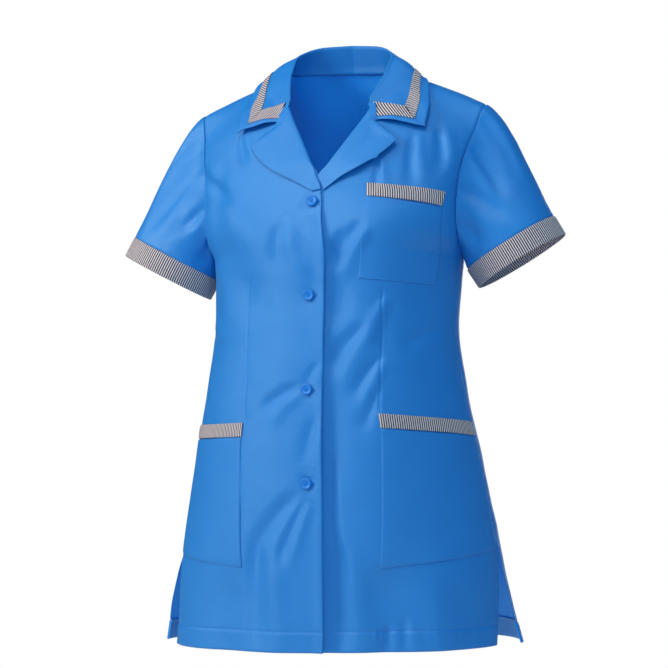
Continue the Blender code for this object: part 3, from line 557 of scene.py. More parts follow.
def overlap_share(side, drop):
    """The front's edge past its own line, as a negative share; the V of the neck sits to the left."""
    turn = np.radians(value_at(FRONT, "turn", drop))
    reach = value_at(OVERLAP, "reach", np.maximum(drop, V_DROP)) - side * value_at(V_SHIFT, "shift", drop)
    width = outer_end(FRONT_ARMHOLE, "front", drop)[0] - value_at(FRONT, "x_in", drop)
    return -np.arcsin(reach * np.sin(turn) / width) / turn


def armhole(side):
    """The armhole's points from the shoulder tip down the front and up the back, and their frames."""
    down = np.linspace(SHOULDER_DROP, ARMPIT_DROP, 49)
    ones = np.ones_like(down)
    halves = []
    for face in (partial(front_face, side), lambda s, d: back_face(s * side, d)):
        edge = face(ones, down)
        inner = face(ones - 0.02, down)
        along = np.gradient(edge, axis=0)
        out = unit(edge - inner)
        halves.append((edge, unit(square_to(out, unit(along)))))
    points = np.concatenate([halves[0][0], halves[1][0][-2:0:-1]])
    outgoing = np.concatenate([halves[0][1], halves[1][1][-2:0:-1]])
    return points, unit(outgoing)


def sleeve_frame(side_name):
    """Where a sleeve's cuff ring lies, and its axes."""
    sizes = SLEEVES[side_name]
    flip = np.array([sizes["side"], 1.0, 1.0])
    axis = unit(np.array(sizes["axis"]) * flip)
    front_way = unit(np.cross(axis, np.array([0.0, 0.0, 1.0])) * -sizes["side"])
    top_way = unit(np.cross(axis, front_way) * sizes["side"])
    if top_way[2] < 0:
        top_way = -top_way
    if front_way[1] > 0:
        front_way = -front_way
    return np.array(sizes["end"]) * flip, axis, top_way, front_way, sizes["ring"]


def cuff_ring(side_name, count, back_off, grow):
    """A ring of the sleeve's end, back_off above the cuff's lower edge and grow wider."""
    end, axis, top_way, front_way, ring = sleeve_frame(side_name)
    angle = np.arange(count) * 2 * math.pi / count
    taper = 1.0 + 0.10 * back_off
    across = (ring[0] * taper + grow) * np.cos(angle)
    deep = (ring[1] * taper + grow) * np.sin(angle)
    return end - back_off * axis + across[:, None] * top_way + deep[:, None] * front_way


def sleeve_face(side_name, run):
    """Outer points of a sleeve at shares of its length, from the armhole to the cuff seam."""
    side = SLEEVES[side_name]["side"]
    start, outgoing = armhole(side)
    count = len(start)
    target = cuff_ring(side_name, count, CUFF_DEPTH + SEAM_GAP, 0.0)
    axis = sleeve_frame(side_name)[1]
    angle = np.arange(count) * 2 * math.pi / count
    chord = unit(target - start)
    keep = 0.40 * (1 + np.cos(angle))[:, None]
    leave = unit(keep * outgoing + (1 - keep) * chord + np.array([0.25 * side, 0.0, 0.0]) * (1 - keep))
    start = start + SLEEVE_START * leave
    reach = np.linalg.norm(target - start, axis=-1, keepdims=True)
    f = np.asarray(run, float)[:, None, None]
    return eased(f, start, reach * leave * 0.68, target, reach * axis * 0.9)


def body_samples():
    """A dense set of points and normals of the fronts and back, to lay other pieces on."""
    drop, share = np.meshgrid(np.linspace(SHOULDER_DROP, 0.30, 60), np.linspace(0.0, 1.0, 50), indexing="ij")
    share = np.clip(share, 0.0005, 0.9995)
    drop = np.clip(drop, SHOULDER_DROP + 0.0002, None)
    places = []
    facings = []
    for face in (partial(front_face, 1), partial(front_face, -1), back_face, lambda s, d: back_face(-s, d)):
        points = face(share, drop)
        places.append(points.reshape(-1, 3))
        facings.append(normals_of(face, share, drop, away(points)).reshape(-1, 3))
    return np.concatenate(places), np.concatenate(facings)


def clear_of_body(points, lift, samples):
    """Points moved out so that each is at least lift above the nearest place of the body."""
    places, facings = samples
    flat = points.reshape(-1, 3).copy()
    limit = np.broadcast_to(lift, points.shape[:-1]).reshape(-1)
    for i, point in enumerate(flat):
        for _ in range(2):
            gap = point - places
            near = int(np.argmin(np.einsum("ij,ij->i", gap, gap)))
            height = float(np.dot(point - places[near], facings[near]))
            if height < limit[i]:
                point = point + (limit[i] - height) * facings[near]
        flat[i] = point
    return flat.reshape(points.shape)


def collar_face(along, across, samples):
    """The collar's visible face. along -1 to 1 from right notch to left; across -1 at the neck
    seam, 0 at the roll's crest, 1 at the outer edge."""
    along, across = np.broadcast_arrays(np.asarray(along, float), np.asarray(across, float))
    half = np.abs(along)
    flip = np.stack([np.where(along < 0, -1.0, 1.0), np.ones_like(half), np.ones_like(half)], axis=-1)

    def line(kind, at):
        columns = [glide(COLLAR["along"], COLLAR[kind + axis], at) for axis in ("_x", "_y", "_z")]
        return np.stack(columns, axis=-1)

    step = 0.01
    base = line("base", half)
    crest = line("roll", half)
    edge = line("edge", half)
    after = line("roll", np.minimum(half + step, 1.0))
    before = line("roll", np.maximum(half - step, 0.0))
    tangent = unit(after - before)
    away_from = edge - crest
    away_from = unit(square_to(away_from, tangent))
    at_back = np.clip(1 - half / 0.5, 0.0, 1.0)[..., None]
    level = unit(away_from * np.array([1.0, 1.0, 0.0]))
    outward = unit(level * at_back + away_from * (1 - at_back))
    up = np.cross(outward, tangent)
    up *= np.sign(up[..., 2:3] + 1e-9)
    puff = glide(COLLAR["along"], COLLAR["puff"], half)[..., None]
    rise = PUFF_START * puff * unit(up + outward)
    reach = edge - crest + rise
    slope = np.arctan2(-np.sum(reach * up, axis=-1), np.sum(reach * outward, axis=-1))
    slope = np.clip(slope, LEAST_TURN, math.pi / 2)[..., None]
    turn = np.clip(across / CREST_SHARE, -1.0, 1.0)[..., None]
    turn = np.where(turn > 0, turn * slope, turn * (math.pi / 2))
    rolled = crest + CREST * (np.sin(turn) * outward + (np.cos(turn) - 1) * up)
    fall = np.clip((across - CREST_SHARE) / (1 - CREST_SHARE), 0.0, 1.0)[..., None]
    stand = np.clip((-across - CREST_SHARE) / (1 - CREST_SHARE), 0.0, 1.0)[..., None]
    out_start = crest + CREST * (np.sin(slope) * outward + (np.cos(slope) - 1) * up)
    in_start = crest - CREST * (outward + up)
    bow = fall * (1 - fall) ** 2 * rise
    points = rolled + fall * (edge - out_start) + bow + stand * (base - in_start)
    lift = np.where(across > LIFT_FROM, COLLAR_WALL + LAY_GAP, -1.0)
    return clear_of_body(points * flip, lift, samples)


def centre_front(height):
    """The point and the normal of the right front on the centre line, at a height below the neck."""
    face = partial(front_face, -1)
    share = np.array([0.0])
    above = height
    below = height + 0.08
    for _ in range(40):
        middle = (above + below) / 2
        if face(share, np.array([middle]))[0, 2] > -height:
            above = middle
        else:
            below = middle
    place = np.array([(above + below) / 2])
    point = face(share, place)
    return point[0], normals_of(face, share, place, away(point))[0]


def spaced(*spans):
    """Sorted places made of even spans, each given as (start, end, count)."""
    return np.unique(np.round(np.concatenate([np.linspace(*span) for span in spans]), 7))


def unrest(u, v, seed):
    """Soft unevenness between about -1 and 1, from a few crossing waves."""
    total = 0.0
    for k, (a, b) in enumerate(((62, 35), (-48, 71), (97, -29), (25, 116), (131, 83))):
        total = total + np.sin(u * a + v * b + seed * (k + 1.7)) / (1 + 0.5 * k)
    return total / 2.4


def ripple(run, seed):
    """Uneven small puckers along a sewn line."""
    long_waves = np.sin(run * 540 + seed) + 0.5 * np.sin(run * 311 + 0.7 * seed)
    return (long_waves + 0.7 * np.sin(run * 873 + 2.1 * seed)) / 2.2


def bell(distance, width):
    """One at a line, fading to nothing beside it."""
    return np.exp(-((distance / width) ** 2))


def run_lengths(grid, axis):
    """Distance travelled along an axis of a grid of points."""
    steps = np.linalg.norm(np.diff(grid, axis=axis), axis=-1)
    shape = list(steps.shape)
    shape[axis] = 1
    return np.concatenate([np.zeros(shape), np.cumsum(steps, axis=axis)], axis=axis)


def tuck(grid, normals, depth):
    """A grid and its normals with two more rows at the end, which turn the seam's edge inward."""
    edge = grid[-1]
    normal = normals[-1]
    deep = edge - np.broadcast_to(depth, edge.shape[:1])[:, None] * normal
    more = np.stack([edge - 0.0006 * normal, deep])
    return np.concatenate([grid, more]), np.concatenate([normals, np.stack([normal, normal])])


def tuck_side(grid, normals, depth):
    """The same past the last column. depth may differ by row."""
    return [sideways(item) for item in tuck(sideways(grid), sideways(normals), depth)]


def tuck_top(grid, normals, depth):
    """The same before the first row."""
    return [item[::-1] for item in tuck(grid[::-1], normals[::-1], depth)]


def sideways(grid):
    """The same grid with rows and columns changed over."""
    return np.swapaxes(grid, 0, 1)


def turned_hem(grid, normals, depth):
    """More rows after the last one: the hem's fold and its turned layer inside."""
    lengths = run_lengths(grid[:, grid.shape[1] // 2][:, None], 0)[:, 0]
    up = lengths[-1] - lengths
    bend = grid[-1] + 0.0006 * unit(grid[-1] - grid[-2]) - (CLOTH + 0.0003) * normals[-1]
    rows = [bend]
    wanted = np.linspace(0.0005, depth, 9)
    for distance in wanted:
        j = int(np.argmin(np.abs(up - distance)))
        rows.append(grid[j] - (2 * CLOTH + 0.0006) * normals[j])
    return np.concatenate([grid, np.array(rows)])


def shell(node, grid, facing, wall, material, loop=False, place=None, painted_light_inside=None):
    """The cloth of a node: even thickness behind outer points, rounded rims and a map in metres.

    The material given for the inner side, where there is one, is a lighter copy of the blue: painted light
    inside the garment."""
    rows, columns = grid.shape[:2]
    down = np.gradient(grid, axis=0)
    if loop:
        across = np.roll(grid, -1, axis=1) - np.roll(grid, 1, axis=1)
    else:
        across = np.gradient(grid, axis=1)
    normal = unit(np.cross(across, down))
    middle = (rows // 3, columns // 2)
    if np.dot(normal[middle], facing) < 0:
        normal = -normal
    inner = grid - wall * normal
    closed = np.concatenate([grid, grid[:, :1]], axis=1) if loop else grid
    u = run_lengths(closed, 1)
    v = run_lengths(closed, 0)
    v = np.broadcast_to(v[:, columns // 2][:, None], v.shape)
    out_way = np.zeros_like(grid)
    out_way[0] += unit(grid[0] - grid[1])
    out_way[-1] += unit(grid[-1] - grid[-2])
    if not loop:
        out_way[:, 0] += unit(grid[:, 0] - grid[:, 1])
        out_way[:, -1] += unit(grid[:, -1] - grid[:, -2])
    rim = (grid + inner) / 2 + 0.45 * wall * unit(out_way)
    count = rows * columns
    number = np.arange(count).reshape(rows, columns)
    if loop:
        number = np.concatenate([number, number[:, :1]], axis=1)
    faces = []
    maps = []

    def strip(a, b, ua, ub):
        """Quads between two lines of vertices, with their map values."""
        faces.append(np.stack([a[:-1], b[:-1], b[1:], a[1:]], axis=-1).reshape(-1, 4))
        maps.append(np.stack([ua[:-1], ub[:-1], ub[1:], ua[1:]], axis=-2).reshape(-1, 4, 2))

    if place is None:
        place = np.stack([u, v], axis=-1)
    for i in range(rows - 1):
        strip(number[i], number[i + 1], place[i], place[i + 1])
        strip(number[i] + count, number[i + 1] + count, place[i], place[i + 1])
    edges = [(number[0], place[0]), (number[-1], place[-1])]
    if not loop:
        edges += [(number[:, 0], place[:, 0]), (number[:, -1], place[:, -1])]
    for line, spot in edges:
        strip(line, line + 2 * count, spot, spot)
        strip(line + 2 * count, line + count, spot, spot)
    points = np.concatenate([grid.reshape(-1, 3), inner.reshape(-1, 3), rim.reshape(-1, 3)])
    quads = np.concatenate(faces)
    used = np.unique(quads)
    renumber = np.zeros(len(points), dtype=int)
    renumber[used] = np.arange(len(used))
    quads = renumber[quads].tolist()
    piece = add_piece(node + "_cloth", points[used], quads, material, np.concatenate(maps))
    # The inner faces take the lighter blue: painted light inside the garment.
    if painted_light_inside:
        hidden = np.zeros(len(quads), dtype=np.int32)
        strips = hidden[:2 * (rows - 1) * len(faces[0])].reshape(rows - 1, 2, -1)
        strips[:, 1] = 1
        piece.data.materials.append(painted_light_inside)
        piece.data.polygons.foreach_set("material_index", hidden)
    settle(piece, node)


def add_object(name, data):
    """A new object in the scene."""
    item = bpy.data.objects.new(name, data)
    bpy.context.scene.collection.objects.link(item)
    return item


def add_piece(name, points, faces, material, maps=None):
    """A smooth piece that rides the root, with its faces turned outward."""
    mesh = bpy.data.meshes.new(name)
    mesh.from_pydata(points.tolist(), [], faces)
    if maps is not None:
        layer = mesh.uv_layers.new(name="cloth_map")
        layer.data.foreach_set("uv", maps.astype(np.float32).reshape(-1))
    work = bmesh.new()
    work.from_mesh(mesh)
    bmesh.ops.recalc_face_normals(work, faces=work.faces)
    if work.calc_volume(signed=True) < 0:
        bmesh.ops.reverse_faces(work, faces=work.faces)
    work.to_mesh(mesh)
    work.free()
    mesh.materials.append(material)
    mesh.shade_smooth()
    piece = add_object(name, mesh)
    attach(piece, "root")
    return piece


def settle(piece, node):
    """The piece stands in for its node, whose own part is hidden."""
    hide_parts(node)


def line_at(grid, normals, field, level):
    """The line across a grid where a field that grows along the rows reaches a level."""
    after = np.clip(np.argmax(field >= level, axis=0), 1, len(field) - 1)
    column = np.arange(grid.shape[1])
    low = field[after - 1, column]
    part = np.clip((level - low) / (field[after, column] - low + 1e-9), 0, 1)[:, None]
    points = grid[after - 1, column] * (1 - part) + grid[after, column] * part
    return points, normals[after, column]


def side_line(grid, normals, distance, way, level, rows=slice(None)):
    """The line beside the first (1) or last (-1) column where the distance from it reaches a level."""
    return line_at(*[sideways(item[rows])[::way] for item in (grid, normals, distance)], level)


# A stitch as rings of points: place along it and thickness, as shares
STITCH_PROFILE = [(-1.0, 0.35), (-0.7, 0.9), (0.7, 0.9), (1.0, 0.35)]


def beads(name, centres, ways, facings, half, material):
    """Short rounded threads, one at each centre, lying along its way."""
    ways = unit(square_to(ways, facings))
    sides = np.cross(facings, ways)
    rings = []
    for place, thick in STITCH_PROFILE:
        for k in range(5):
            turn = 2 * math.pi * k / 5
            offset = THREAD * thick * (math.cos(turn) * sides + math.sin(turn) * facings)
            rings.append(centres + half * place * ways + offset)
    points = np.stack(rings, axis=1)
    count = points.shape[1]
    k = np.arange(5)
    ring = np.stack([k, (k + 1) % 5, (k + 1) % 5 + 5, k + 5], axis=-1)
    quads = np.concatenate([ring, ring + 5, ring + 10])
    caps = [[0, 1, 2, 3], [0, 3, 4], [15, 16, 17, 18], [15, 18, 19]]
    first = np.arange(len(points))[:, None] * count
    faces = (quads[None] + first[..., None]).reshape(-1, 4).tolist()
    for cap in caps:
        faces.extend((np.array(cap)[None] + first).tolist())
    piece = add_piece(name, points.reshape(-1, 3), faces, material)


def stitches(name, lines, material):
    """Sewing thread along lines of points, as one piece."""
    found = []
    for points, facings in lines:
        run = run_lengths(points[:, None], 0)[:, 0]
        places = np.arange(STITCH_PITCH, run[-1] - STITCH_PITCH / 2, STITCH_PITCH)

        def along(values, at):
            return np.stack([np.interp(at, run, values[:, i]) for i in range(3)], axis=-1)

        spots = along(points, places)
        found.append((spots, along(points, places + STITCH_AHEAD) - spots, unit(along(facings, places))))
    centres, ways, facings = [np.concatenate(group) for group in zip(*found)]
    beads(name, centres, ways, facings, STITCH_LENGTH / 2, material)


# Cloth panels


def laid(face, share, drop):
    """A face's grid of points, their normals, and the distances across and down it."""
    grid = face(share, drop)
    return grid, normals_of(face, share, drop, away(grid)), run_lengths(grid, 1), run_lengths(grid, 0)


def share_at(side, drop):
    """Where the dart's upright line lies on a front, as a share, at each drop."""
    x_in = value_at(FRONT, "x_in", drop)
    turn = np.radians(value_at(FRONT, "turn", drop))
    part = (abs(DART_X[side]) - x_in) / (outer_end(FRONT_ARMHOLE, "front", drop)[0] - x_in)
    return np.arcsin(np.clip(part * np.sin(turn), -1.0, 1.0)) / turn


def hem_relief(u, v, seed):
    """The sewn line of a hem, with puckers at it and the fuller turned layer under it."""
    below = v - (v[-1:] - HEM_TURN)
    groove = -HEM_DIP * bell(below, 0.0013)
    fuller = HEM_FULLNESS * soft_step(below / 0.004)
    puckers = 0.00055 * ripple(u, seed) * bell(below - 0.003, 0.010)
    return groove + fuller + puckers


def sewn_share(drop):
    """One where the side seam is sewn, fading to nothing at the vent."""
    return 1 - soft_step((drop - VENT_DROP + 0.004) / 0.008)


def side_relief(outer, v, drop, seed):
    """The side seam's dip and puckers, and below it the vent's sewn line."""
    sewn = sewn_share(drop)
    seam = PUCKER * ripple(v, seed) * bell(outer - 0.004, 0.008) - SEAM_DIP * bell(outer, SEAM_WIDTH)
    return sewn * seam - EDGE_DIP * (1 - sewn) * bell(outer - VENT_STITCH, EDGE_WIDTH)


def turn_at_dart(side, points, drop):
    """How far a front stands out where its flat middle turns to the side, along the dart and below it."""
    window = soft_step((drop - 0.215) / 0.08) * soft_step((0.66 - drop) / 0.10)
    return PLANE_BREAK[side] * bell(points[..., 0] - DART_X[side], 0.032) * window


def front_sheet(side, material, painted_light_inside, thread):
    """One front with its dart, seams, hem and, on the right, the closure's puckers."""
    drops = spaced((0.047, 0.054, 5), (0.054, 0.183, 34), (0.183, 0.201, 10), (0.201, 0.600, 98), *LOW_ROWS)
    places = spaced((0, 0.02, 5), (0.02, 0.33, 27), (0.33, 0.39, 15), (0.39, 0.975, 48), (0.975, 1, 7))
    drop = np.repeat(drops[:, None], len(places), axis=1)
    start = (overlap_share(side, drops) + ROLL_SHARE * soft_step((V_DROP - drops) / 0.030))[:, None]
    dart = share_at(side, drops)[:, None]
    f = places[None, :] / DART_PLACE
    g = (places[None, :] - DART_PLACE) / (1 - DART_PLACE)
    share = np.where(f < 1, start + (dart - start) * f, dart + (1 - dart) * g)
    grid, normals, u, v = laid(partial(front_face, side), share, drop)
    outer = u[:, -1:] - u
    seed = 1.3 if side > 0 else 4.1
    relief = UNEVEN * unrest(u, v, seed) + side_relief(outer, v, drop, seed)
    relief -= END_DIP * bell(v, SEAM_WIDTH)
    aside = grid[..., 0] - DART_X[side]
    window = soft_step((drop - DART_TOP[side]) / 0.012) * soft_step((DART_LOW[side] - drop) / 0.006)
    relief -= window * (DART_DIP * bell(aside, DART_WIDTH) + DART_HOLLOW * bell(aside, 0.012))
    relief += window * PUCKER * ripple(v, seed + 1) * bell(aside, 0.007)
    relief += hem_relief(u, v, seed) + turn_at_dart(side, grid, drop)
    closed = soft_step((drop - 0.198) / 0.03)
    if side < 0:
        for height in BUTTON_DROPS:
            centre, _ = centre_front(height)
            away_from = np.linalg.norm(grid - centre, axis=-1)
            rise = grid[..., 2] - centre[2]
            relief -= BUTTON_DIP * bell(away_from, 0.011)
            relief += BUTTON_PUCKER * np.sin(rise * 700) * bell(away_from - 0.013, 0.010)
        relief += EDGE_STAND * bell(u, 0.009) * closed * (1 + 0.35 * np.sin(v * 26))
    else:
        trough = CLOSURE_TROUGH[0] + CLOSURE_TROUGH[1] * soft_step((drop - 0.30) / 0.20)
        relief -= trough * bell(grid[..., 0] - TROUGH_X, 0.017) * closed
    grid = grid + relief[..., None] * normals
    low = drops >= VENT_DROP + 0.004
    lines = [
        line_at(grid, normals, v - v[-1:], -HEM_TURN),
        side_line(grid, normals, outer, -1, VENT_STITCH, low),
    ]
    grid, normals = tuck_side(grid, normals, VENT_TUCK + (SEAM_TUCK - VENT_TUCK) * sewn_share(drops))
    grid, normals = tuck_top(grid, normals, SHOULDER_TUCK)
    grid = turned_hem(grid, normals, HEM_TURN)
    name = "front_left" if side > 0 else "front_right"
    shell(name, grid, (0.0, -1.0, 0.0), CLOTH, material, painted_light_inside=painted_light_inside)
    stitches(name + "_stitches", lines, thread)


def back_sheet(material, painted_light_inside, thread):
    """The back, side to side."""
    drops = spaced((0.047, 0.054, 5), (0.054, 0.600, 130), *LOW_ROWS)
    half = spaced((0, 0.975, 72), (0.975, 1, 7))
    shares = np.concatenate([-half[:0:-1], half])
    drop, share = np.meshgrid(drops, shares, indexing="ij")
    grid, normals, u, v = laid(back_face, share, drop)
    sides = ((1, u), (-1, u[:, -1:] - u))
    relief = UNEVEN * unrest(u, v, 2.7)
    for _, outer in sides:
        relief += side_relief(outer, v, drop, 3.3)
    relief -= END_DIP * bell(v, SEAM_WIDTH) * (np.abs(share) > NECK_SHARE)
    relief += hem_relief(u, v, 5.2)
    grid = grid + relief[..., None] * normals
    low = drops >= VENT_DROP + 0.004
    lines = [line_at(grid, normals, v - v[-1:], -HEM_TURN)]
    lines += [side_line(grid, normals, outer, way, VENT_STITCH, low) for way, outer in sides]
    depth = VENT_TUCK + (SEAM_TUCK - VENT_TUCK) * sewn_share(drops)
    for _ in sides:
        grid, normals = [item[:, ::-1] for item in tuck_side(grid, normals, depth)]
    at_neck = np.abs(np.pad(shares, 2, mode="edge")) < NECK_SHARE
    grid, normals = tuck_top(grid, normals, np.where(at_neck, NECK_TUCK, SHOULDER_TUCK))
    grid = turned_hem(grid, normals, HEM_TURN)
    shell("back", grid, (0.0, 1.0, 0.0), CLOTH, material, painted_light_inside=painted_light_inside)
    stitches("back_stitches", lines, thread)


# Creases of a sleeve: side, turn round it (0 top, 90 front, 180 underarm), place down it, at both ends
SLEEVE_CREASES = table("side turn1 run1 turn2 run2 width depth lip", [
    (-1, 62, 0.10, 40, 0.95, 0.010, 0.0030, 0.6),
    (-1, 110, 0.05, 78, 0.70, 0.009, 0.0035, 0.6),
    (-1, 20, 0.02, 12, 0.45, 0.008, 0.0016, 0.5),
    (-1, 150, 0.10, 120, 0.90, 0.010, 0.0030, 0.5),
    (-1, 300, 0.10, 320, 0.80, 0.010, 0.0030, 0.5),
    (-1, 255, 0.05, 285, 0.75, 0.009, 0.0032, 0.6),
    (1, 50, 0.05, 58, 0.60, 0.009, 0.0030, 0.6),
    (1, 95, 0.05, 70, 0.85, 0.010, 0.0036, 0.6),
    (1, 135, 0.10, 110, 0.90, 0.010, 0.0030, 0.5),
    (1, 18, 0.02, 24, 0.50, 0.008, 0.0016, 0.5),
    (1, 300, 0.10, 325, 0.80, 0.010, 0.0030, 0.5),
    (1, 255, 0.05, 280, 0.75, 0.009, 0.0032, 0.6),
])


def ring_lengths(grid):
    """Distances round the rings of a closed grid, at each point and in all."""
    run = run_lengths(np.concatenate([grid, grid[:, :1]], axis=1), 1)
    return run[:, :-1], run[:, -1:]


def way_round(count, line, girth):
    """Distance round a ring of points from a line given in degrees."""
    angle = 360.0 * np.arange(count)[None, :] / count
    return ((angle - line + 180) % 360 - 180) / 360 * girth


def sleeve_sheet(side_name, material):
    """A sleeve with its cap's fullness, creases and seams."""
    side = SLEEVES[side_name]["side"]
    runs = spaced((0, 0.03, 5), (0.03, 0.97, 44), (0.97, 1, 4))
    grid = sleeve_face(side_name, runs)
    around = np.roll(grid, -1, axis=1) - np.roll(grid, 1, axis=1)
    normals = unit(np.cross(np.gradient(grid, axis=0), around))
    centre = grid.mean(axis=1, keepdims=True)
    normals *= np.sign(np.mean(np.sum(normals * (grid - centre), axis=-1)))
    count = grid.shape[1]
    u, girth = ring_lengths(grid)
    v = run_lengths(grid, 0)
    lengths = v[-1:]
    relief = UNEVEN * unrest(u, v, 1.0 + side)
    relief -= END_DIP * bell(v, SEAM_WIDTH) + 0.0006 * bell(lengths - v, 0.0016)
    relief += PUCKER * ripple(u, side + 2.0) * bell(v - 0.005, 0.008)
    relief += 0.0004 * ripple(u, side + 4.0) * bell(lengths - v - 0.003, 0.006)
    for i in np.nonzero(SLEEVE_CREASES["side"] == side)[0]:
        row = {name: values[i] for name, values in SLEEVE_CREASES.items()}
        f = (v / lengths - row["run1"]) / (row["run2"] - row["run1"])
        line = row["turn1"] + (row["turn2"] - row["turn1"]) * np.clip(f, 0, 1)
        across = way_round(count, line, girth)
        hump = soft_step((f + 0.15) / 0.4) * soft_step((1.15 - f) / 0.5)
        ridge = row["lip"] * bell(across - 1.8 * row["width"], 1.1 * row["width"])
        relief -= row["depth"] * hump * (bell(across, row["width"]) - ridge)
    relief *= soft_step(v / 0.012 + 0.25)
    grid = grid + relief[..., None] * normals
    grid, normals = tuck(grid, normals, CUFF_END_TUCK)
    grid, normals = tuck_top(grid, normals, CAP_TUCK)
    facing = normals[len(normals) // 3, count // 2]
    shell("sleeve_" + side_name, grid, facing, CLOTH, material, loop=True)


def cuff_sheet(side_name, material):
    """The striped band at a sleeve's end, with a seam under the arm."""
    count = 160
    rim = 0.0012
    offs = spaced((0, rim, 3), (rim, CUFF_DEPTH - rim, 11), (CUFF_DEPTH - rim, CUFF_DEPTH, 3))[::-1]
    grid = np.array([cuff_ring(side_name, count, off, CUFF_PROUD) for off in offs])
    normals = unit(grid - grid.mean(axis=1, keepdims=True))
    u, girth = ring_lengths(grid)
    v = run_lengths(grid, 0)
    relief = 0.0004 * unrest(u, v, 2.0)
    for edge, dip, width in ((v, EDGE_DIP, EDGE_WIDTH), (v[-1:] - v, 0.0003, 0.0010)):
        relief -= dip * bell(edge, width) + 0.0003 * bell(edge - 0.003, 0.0010)
    relief -= END_DIP * bell(way_round(count, UNDER_ARM, girth), 0.0014)
    relief += 0.0003 * ripple(u, 1.0) * bell(v - 0.003, 0.006)
    grid = grid + relief[..., None] * normals
    facing = normals[len(normals) // 3, count // 2]
    shell("cuff_" + side_name, grid, facing, 2 * CLOTH, material, loop=True)


def gorge_limit(across):
    """How far the collar runs before the seam with the lapel, as a share of its length."""
    place = np.clip((across - 0.10) / (GORGE["notch"] - 0.10), 0, 1)
    return GORGE["start"] + (1 - GORGE["start"]) * place


def shifted_collar(along, across, samples):
    """The collar's face, with its right point a little nearer the middle than its left one."""
    points = collar_face(along, across, samples)
    share = soft_step((-along - 0.50) / 0.50) * soft_step((across - 0.25) / 0.60)
    points = points + share[..., None] * np.array(POINT_SHIFT)
    lift = np.where((across > LIFT_FROM) & (along < -0.5), COLLAR_WALL + LAY_GAP, -1.0)
    return clear_of_body(points, lift, samples)


def dressed_collar(along, across, samples):
    """The collar's face with its outer edge and corners standing off the body."""
    points = shifted_collar(along, across, samples)
    step = 0.006
    after = shifted_collar(along + step, across, samples)
    before = shifted_collar(along - step, across, samples)
    lower = shifted_collar(along, across + 3 * step, samples)
    upper = shifted_collar(along, across - 3 * step, samples)
    normals = unit(np.cross(after - before, lower - upper))
    facing = np.where(across[..., None] > 0.10, away(points), -away(points))
    normals *= np.where(dot(normals, facing) < 0, -1.0, 1.0)
    at_edge = soft_step((across - 0.62) / 0.38)
    at_end = soft_step((np.abs(along) - 0.80) / 0.20) * soft_step((across - 0.30) / 0.30)
    at_front = soft_step((np.abs(along) - 0.66) / 0.20)
    lift = (LEAST_STAND_OFF + COLLAR_STAND_OFF * at_front) * np.maximum(at_edge, at_end)
    return points + lift[..., None] * normals, normals


def collar_sheet(material, samples):
    """Stand and fall in one folded piece with softly rolled edges."""
    alongs = spaced((-1, -0.985, 4), (-0.985, 0.985, 121), (0.985, 1, 4))
    acrosses = spaced((-1, -0.16, 9), (-0.16, 0.16, 17), (0.16, 0.96, 26), (0.96, 1, 5))
    along, across = np.meshgrid(alongs, acrosses, indexing="ij")
    near_end = np.clip((np.abs(along) - 0.6) / 0.4, 0, 1)
    along = along * (1 - (1 - gorge_limit(across)) * near_end)
    grid, normals = dressed_collar(along, across, samples)
    u = run_lengths(grid, 0)
    v = run_lengths(grid, 1)
    fall = soft_step(across / 0.3)
    relief = 0.0005 * unrest(u, v, 6.0) * fall
    edge = v[:, -1:] - v
    for distance in (edge, u[-1:] - u, u):
        relief -= fall * (EDGE_DIP * bell(distance, EDGE_WIDTH) + 0.0002 * bell(distance - 0.006, 0.0010))
        relief += fall * 0.0002 * ripple(u + v, 2.0) * bell(distance - 0.003, 0.004)
    grid = grid + relief[..., None] * normals
    at_back = soft_step((0.52 - np.abs(alongs)) / 0.12)[:, None]
    onward = unit(grid[:, 0] - grid[:, 1])
    grid[:, 0] += 0.0016 * onward + 0.0011 * at_back * normals[:, 0]
    hem = grid[:, 0] + (0.0004 + 0.0028 * at_back) * onward + 0.0004 * at_back * normals[:, 0]
    grid = np.concatenate([hem[:, None], grid], axis=1)
    facing = normals[len(alongs) // 3, len(acrosses) * 3 // 4]
    shell("collar", grid, facing, COLLAR_WALL, material)


def tape_sheet(material, samples):
    """Striped tape on the collar's fall, mitred at both corners and cut along the lapels' seams."""
    leg = np.concatenate([np.linspace(0, 0.98, 14), [0.998]])
    middle = np.linspace(-1, 1, 151)
    ends = {}
    for edge in ("outer", "inner"):
        level = TAPE[edge]
        turn = TAPE["end_" + edge]
        start = TAPE_ENDS[edge]
        up = np.stack([turn + TAPE_LEAN * (1 - leg), start + (level - start) * leg], axis=-1)
        level_by = level - TAPE_INSET * bell(np.abs(turn * middle) - INSET_PLACE, INSET_WIDTH)
        along = np.stack([turn * middle, level_by], axis=-1)
        ends[edge] = np.concatenate([up * (-1, 1), along, up[::-1]])
    across = np.linspace(0, 1, 9)
    lines = ends["outer"][:, None] + (ends["inner"] - ends["outer"])[:, None] * across[None, :, None]
    grid, normals = dressed_collar(lines[..., 0], lines[..., 1], samples)
    width = run_lengths(grid, 1)
    run = run_lengths(grid, 0)
    first = len(leg)
    last = len(grid) - len(leg) - 1
    u = across[None, :] * np.median(width[:, -1]) + 0 * run
    v = np.minimum(np.abs(run - run[first]), np.abs(run - run[last]))
    on_leg = (np.arange(len(grid)) < first) | (np.arange(len(grid)) > last)
    v = v + u
    v[on_leg] *= -1
    stitch = bell(width - TAPE_STITCH, 0.0006) + bell(width[:, -1:] - width - TAPE_STITCH, 0.0006)
    lift = TRIM + 0.0004 - 0.0002 * stitch
    grid = grid + lift[..., None] * normals
    place = np.stack([u, v], axis=-1)
    shell("collar_tape", grid, normals[len(grid) // 3, 4], TRIM, material, place=place)


def lapel_line(along, places, value):
    """A lapel's line: straight to its tip, then a smooth curve down to its foot."""
    tip = places[2]
    curve = glide(places[2:], value[2:], np.maximum(along, tip))
    return np.where(along < tip, np.interp(along, places, value), curve)


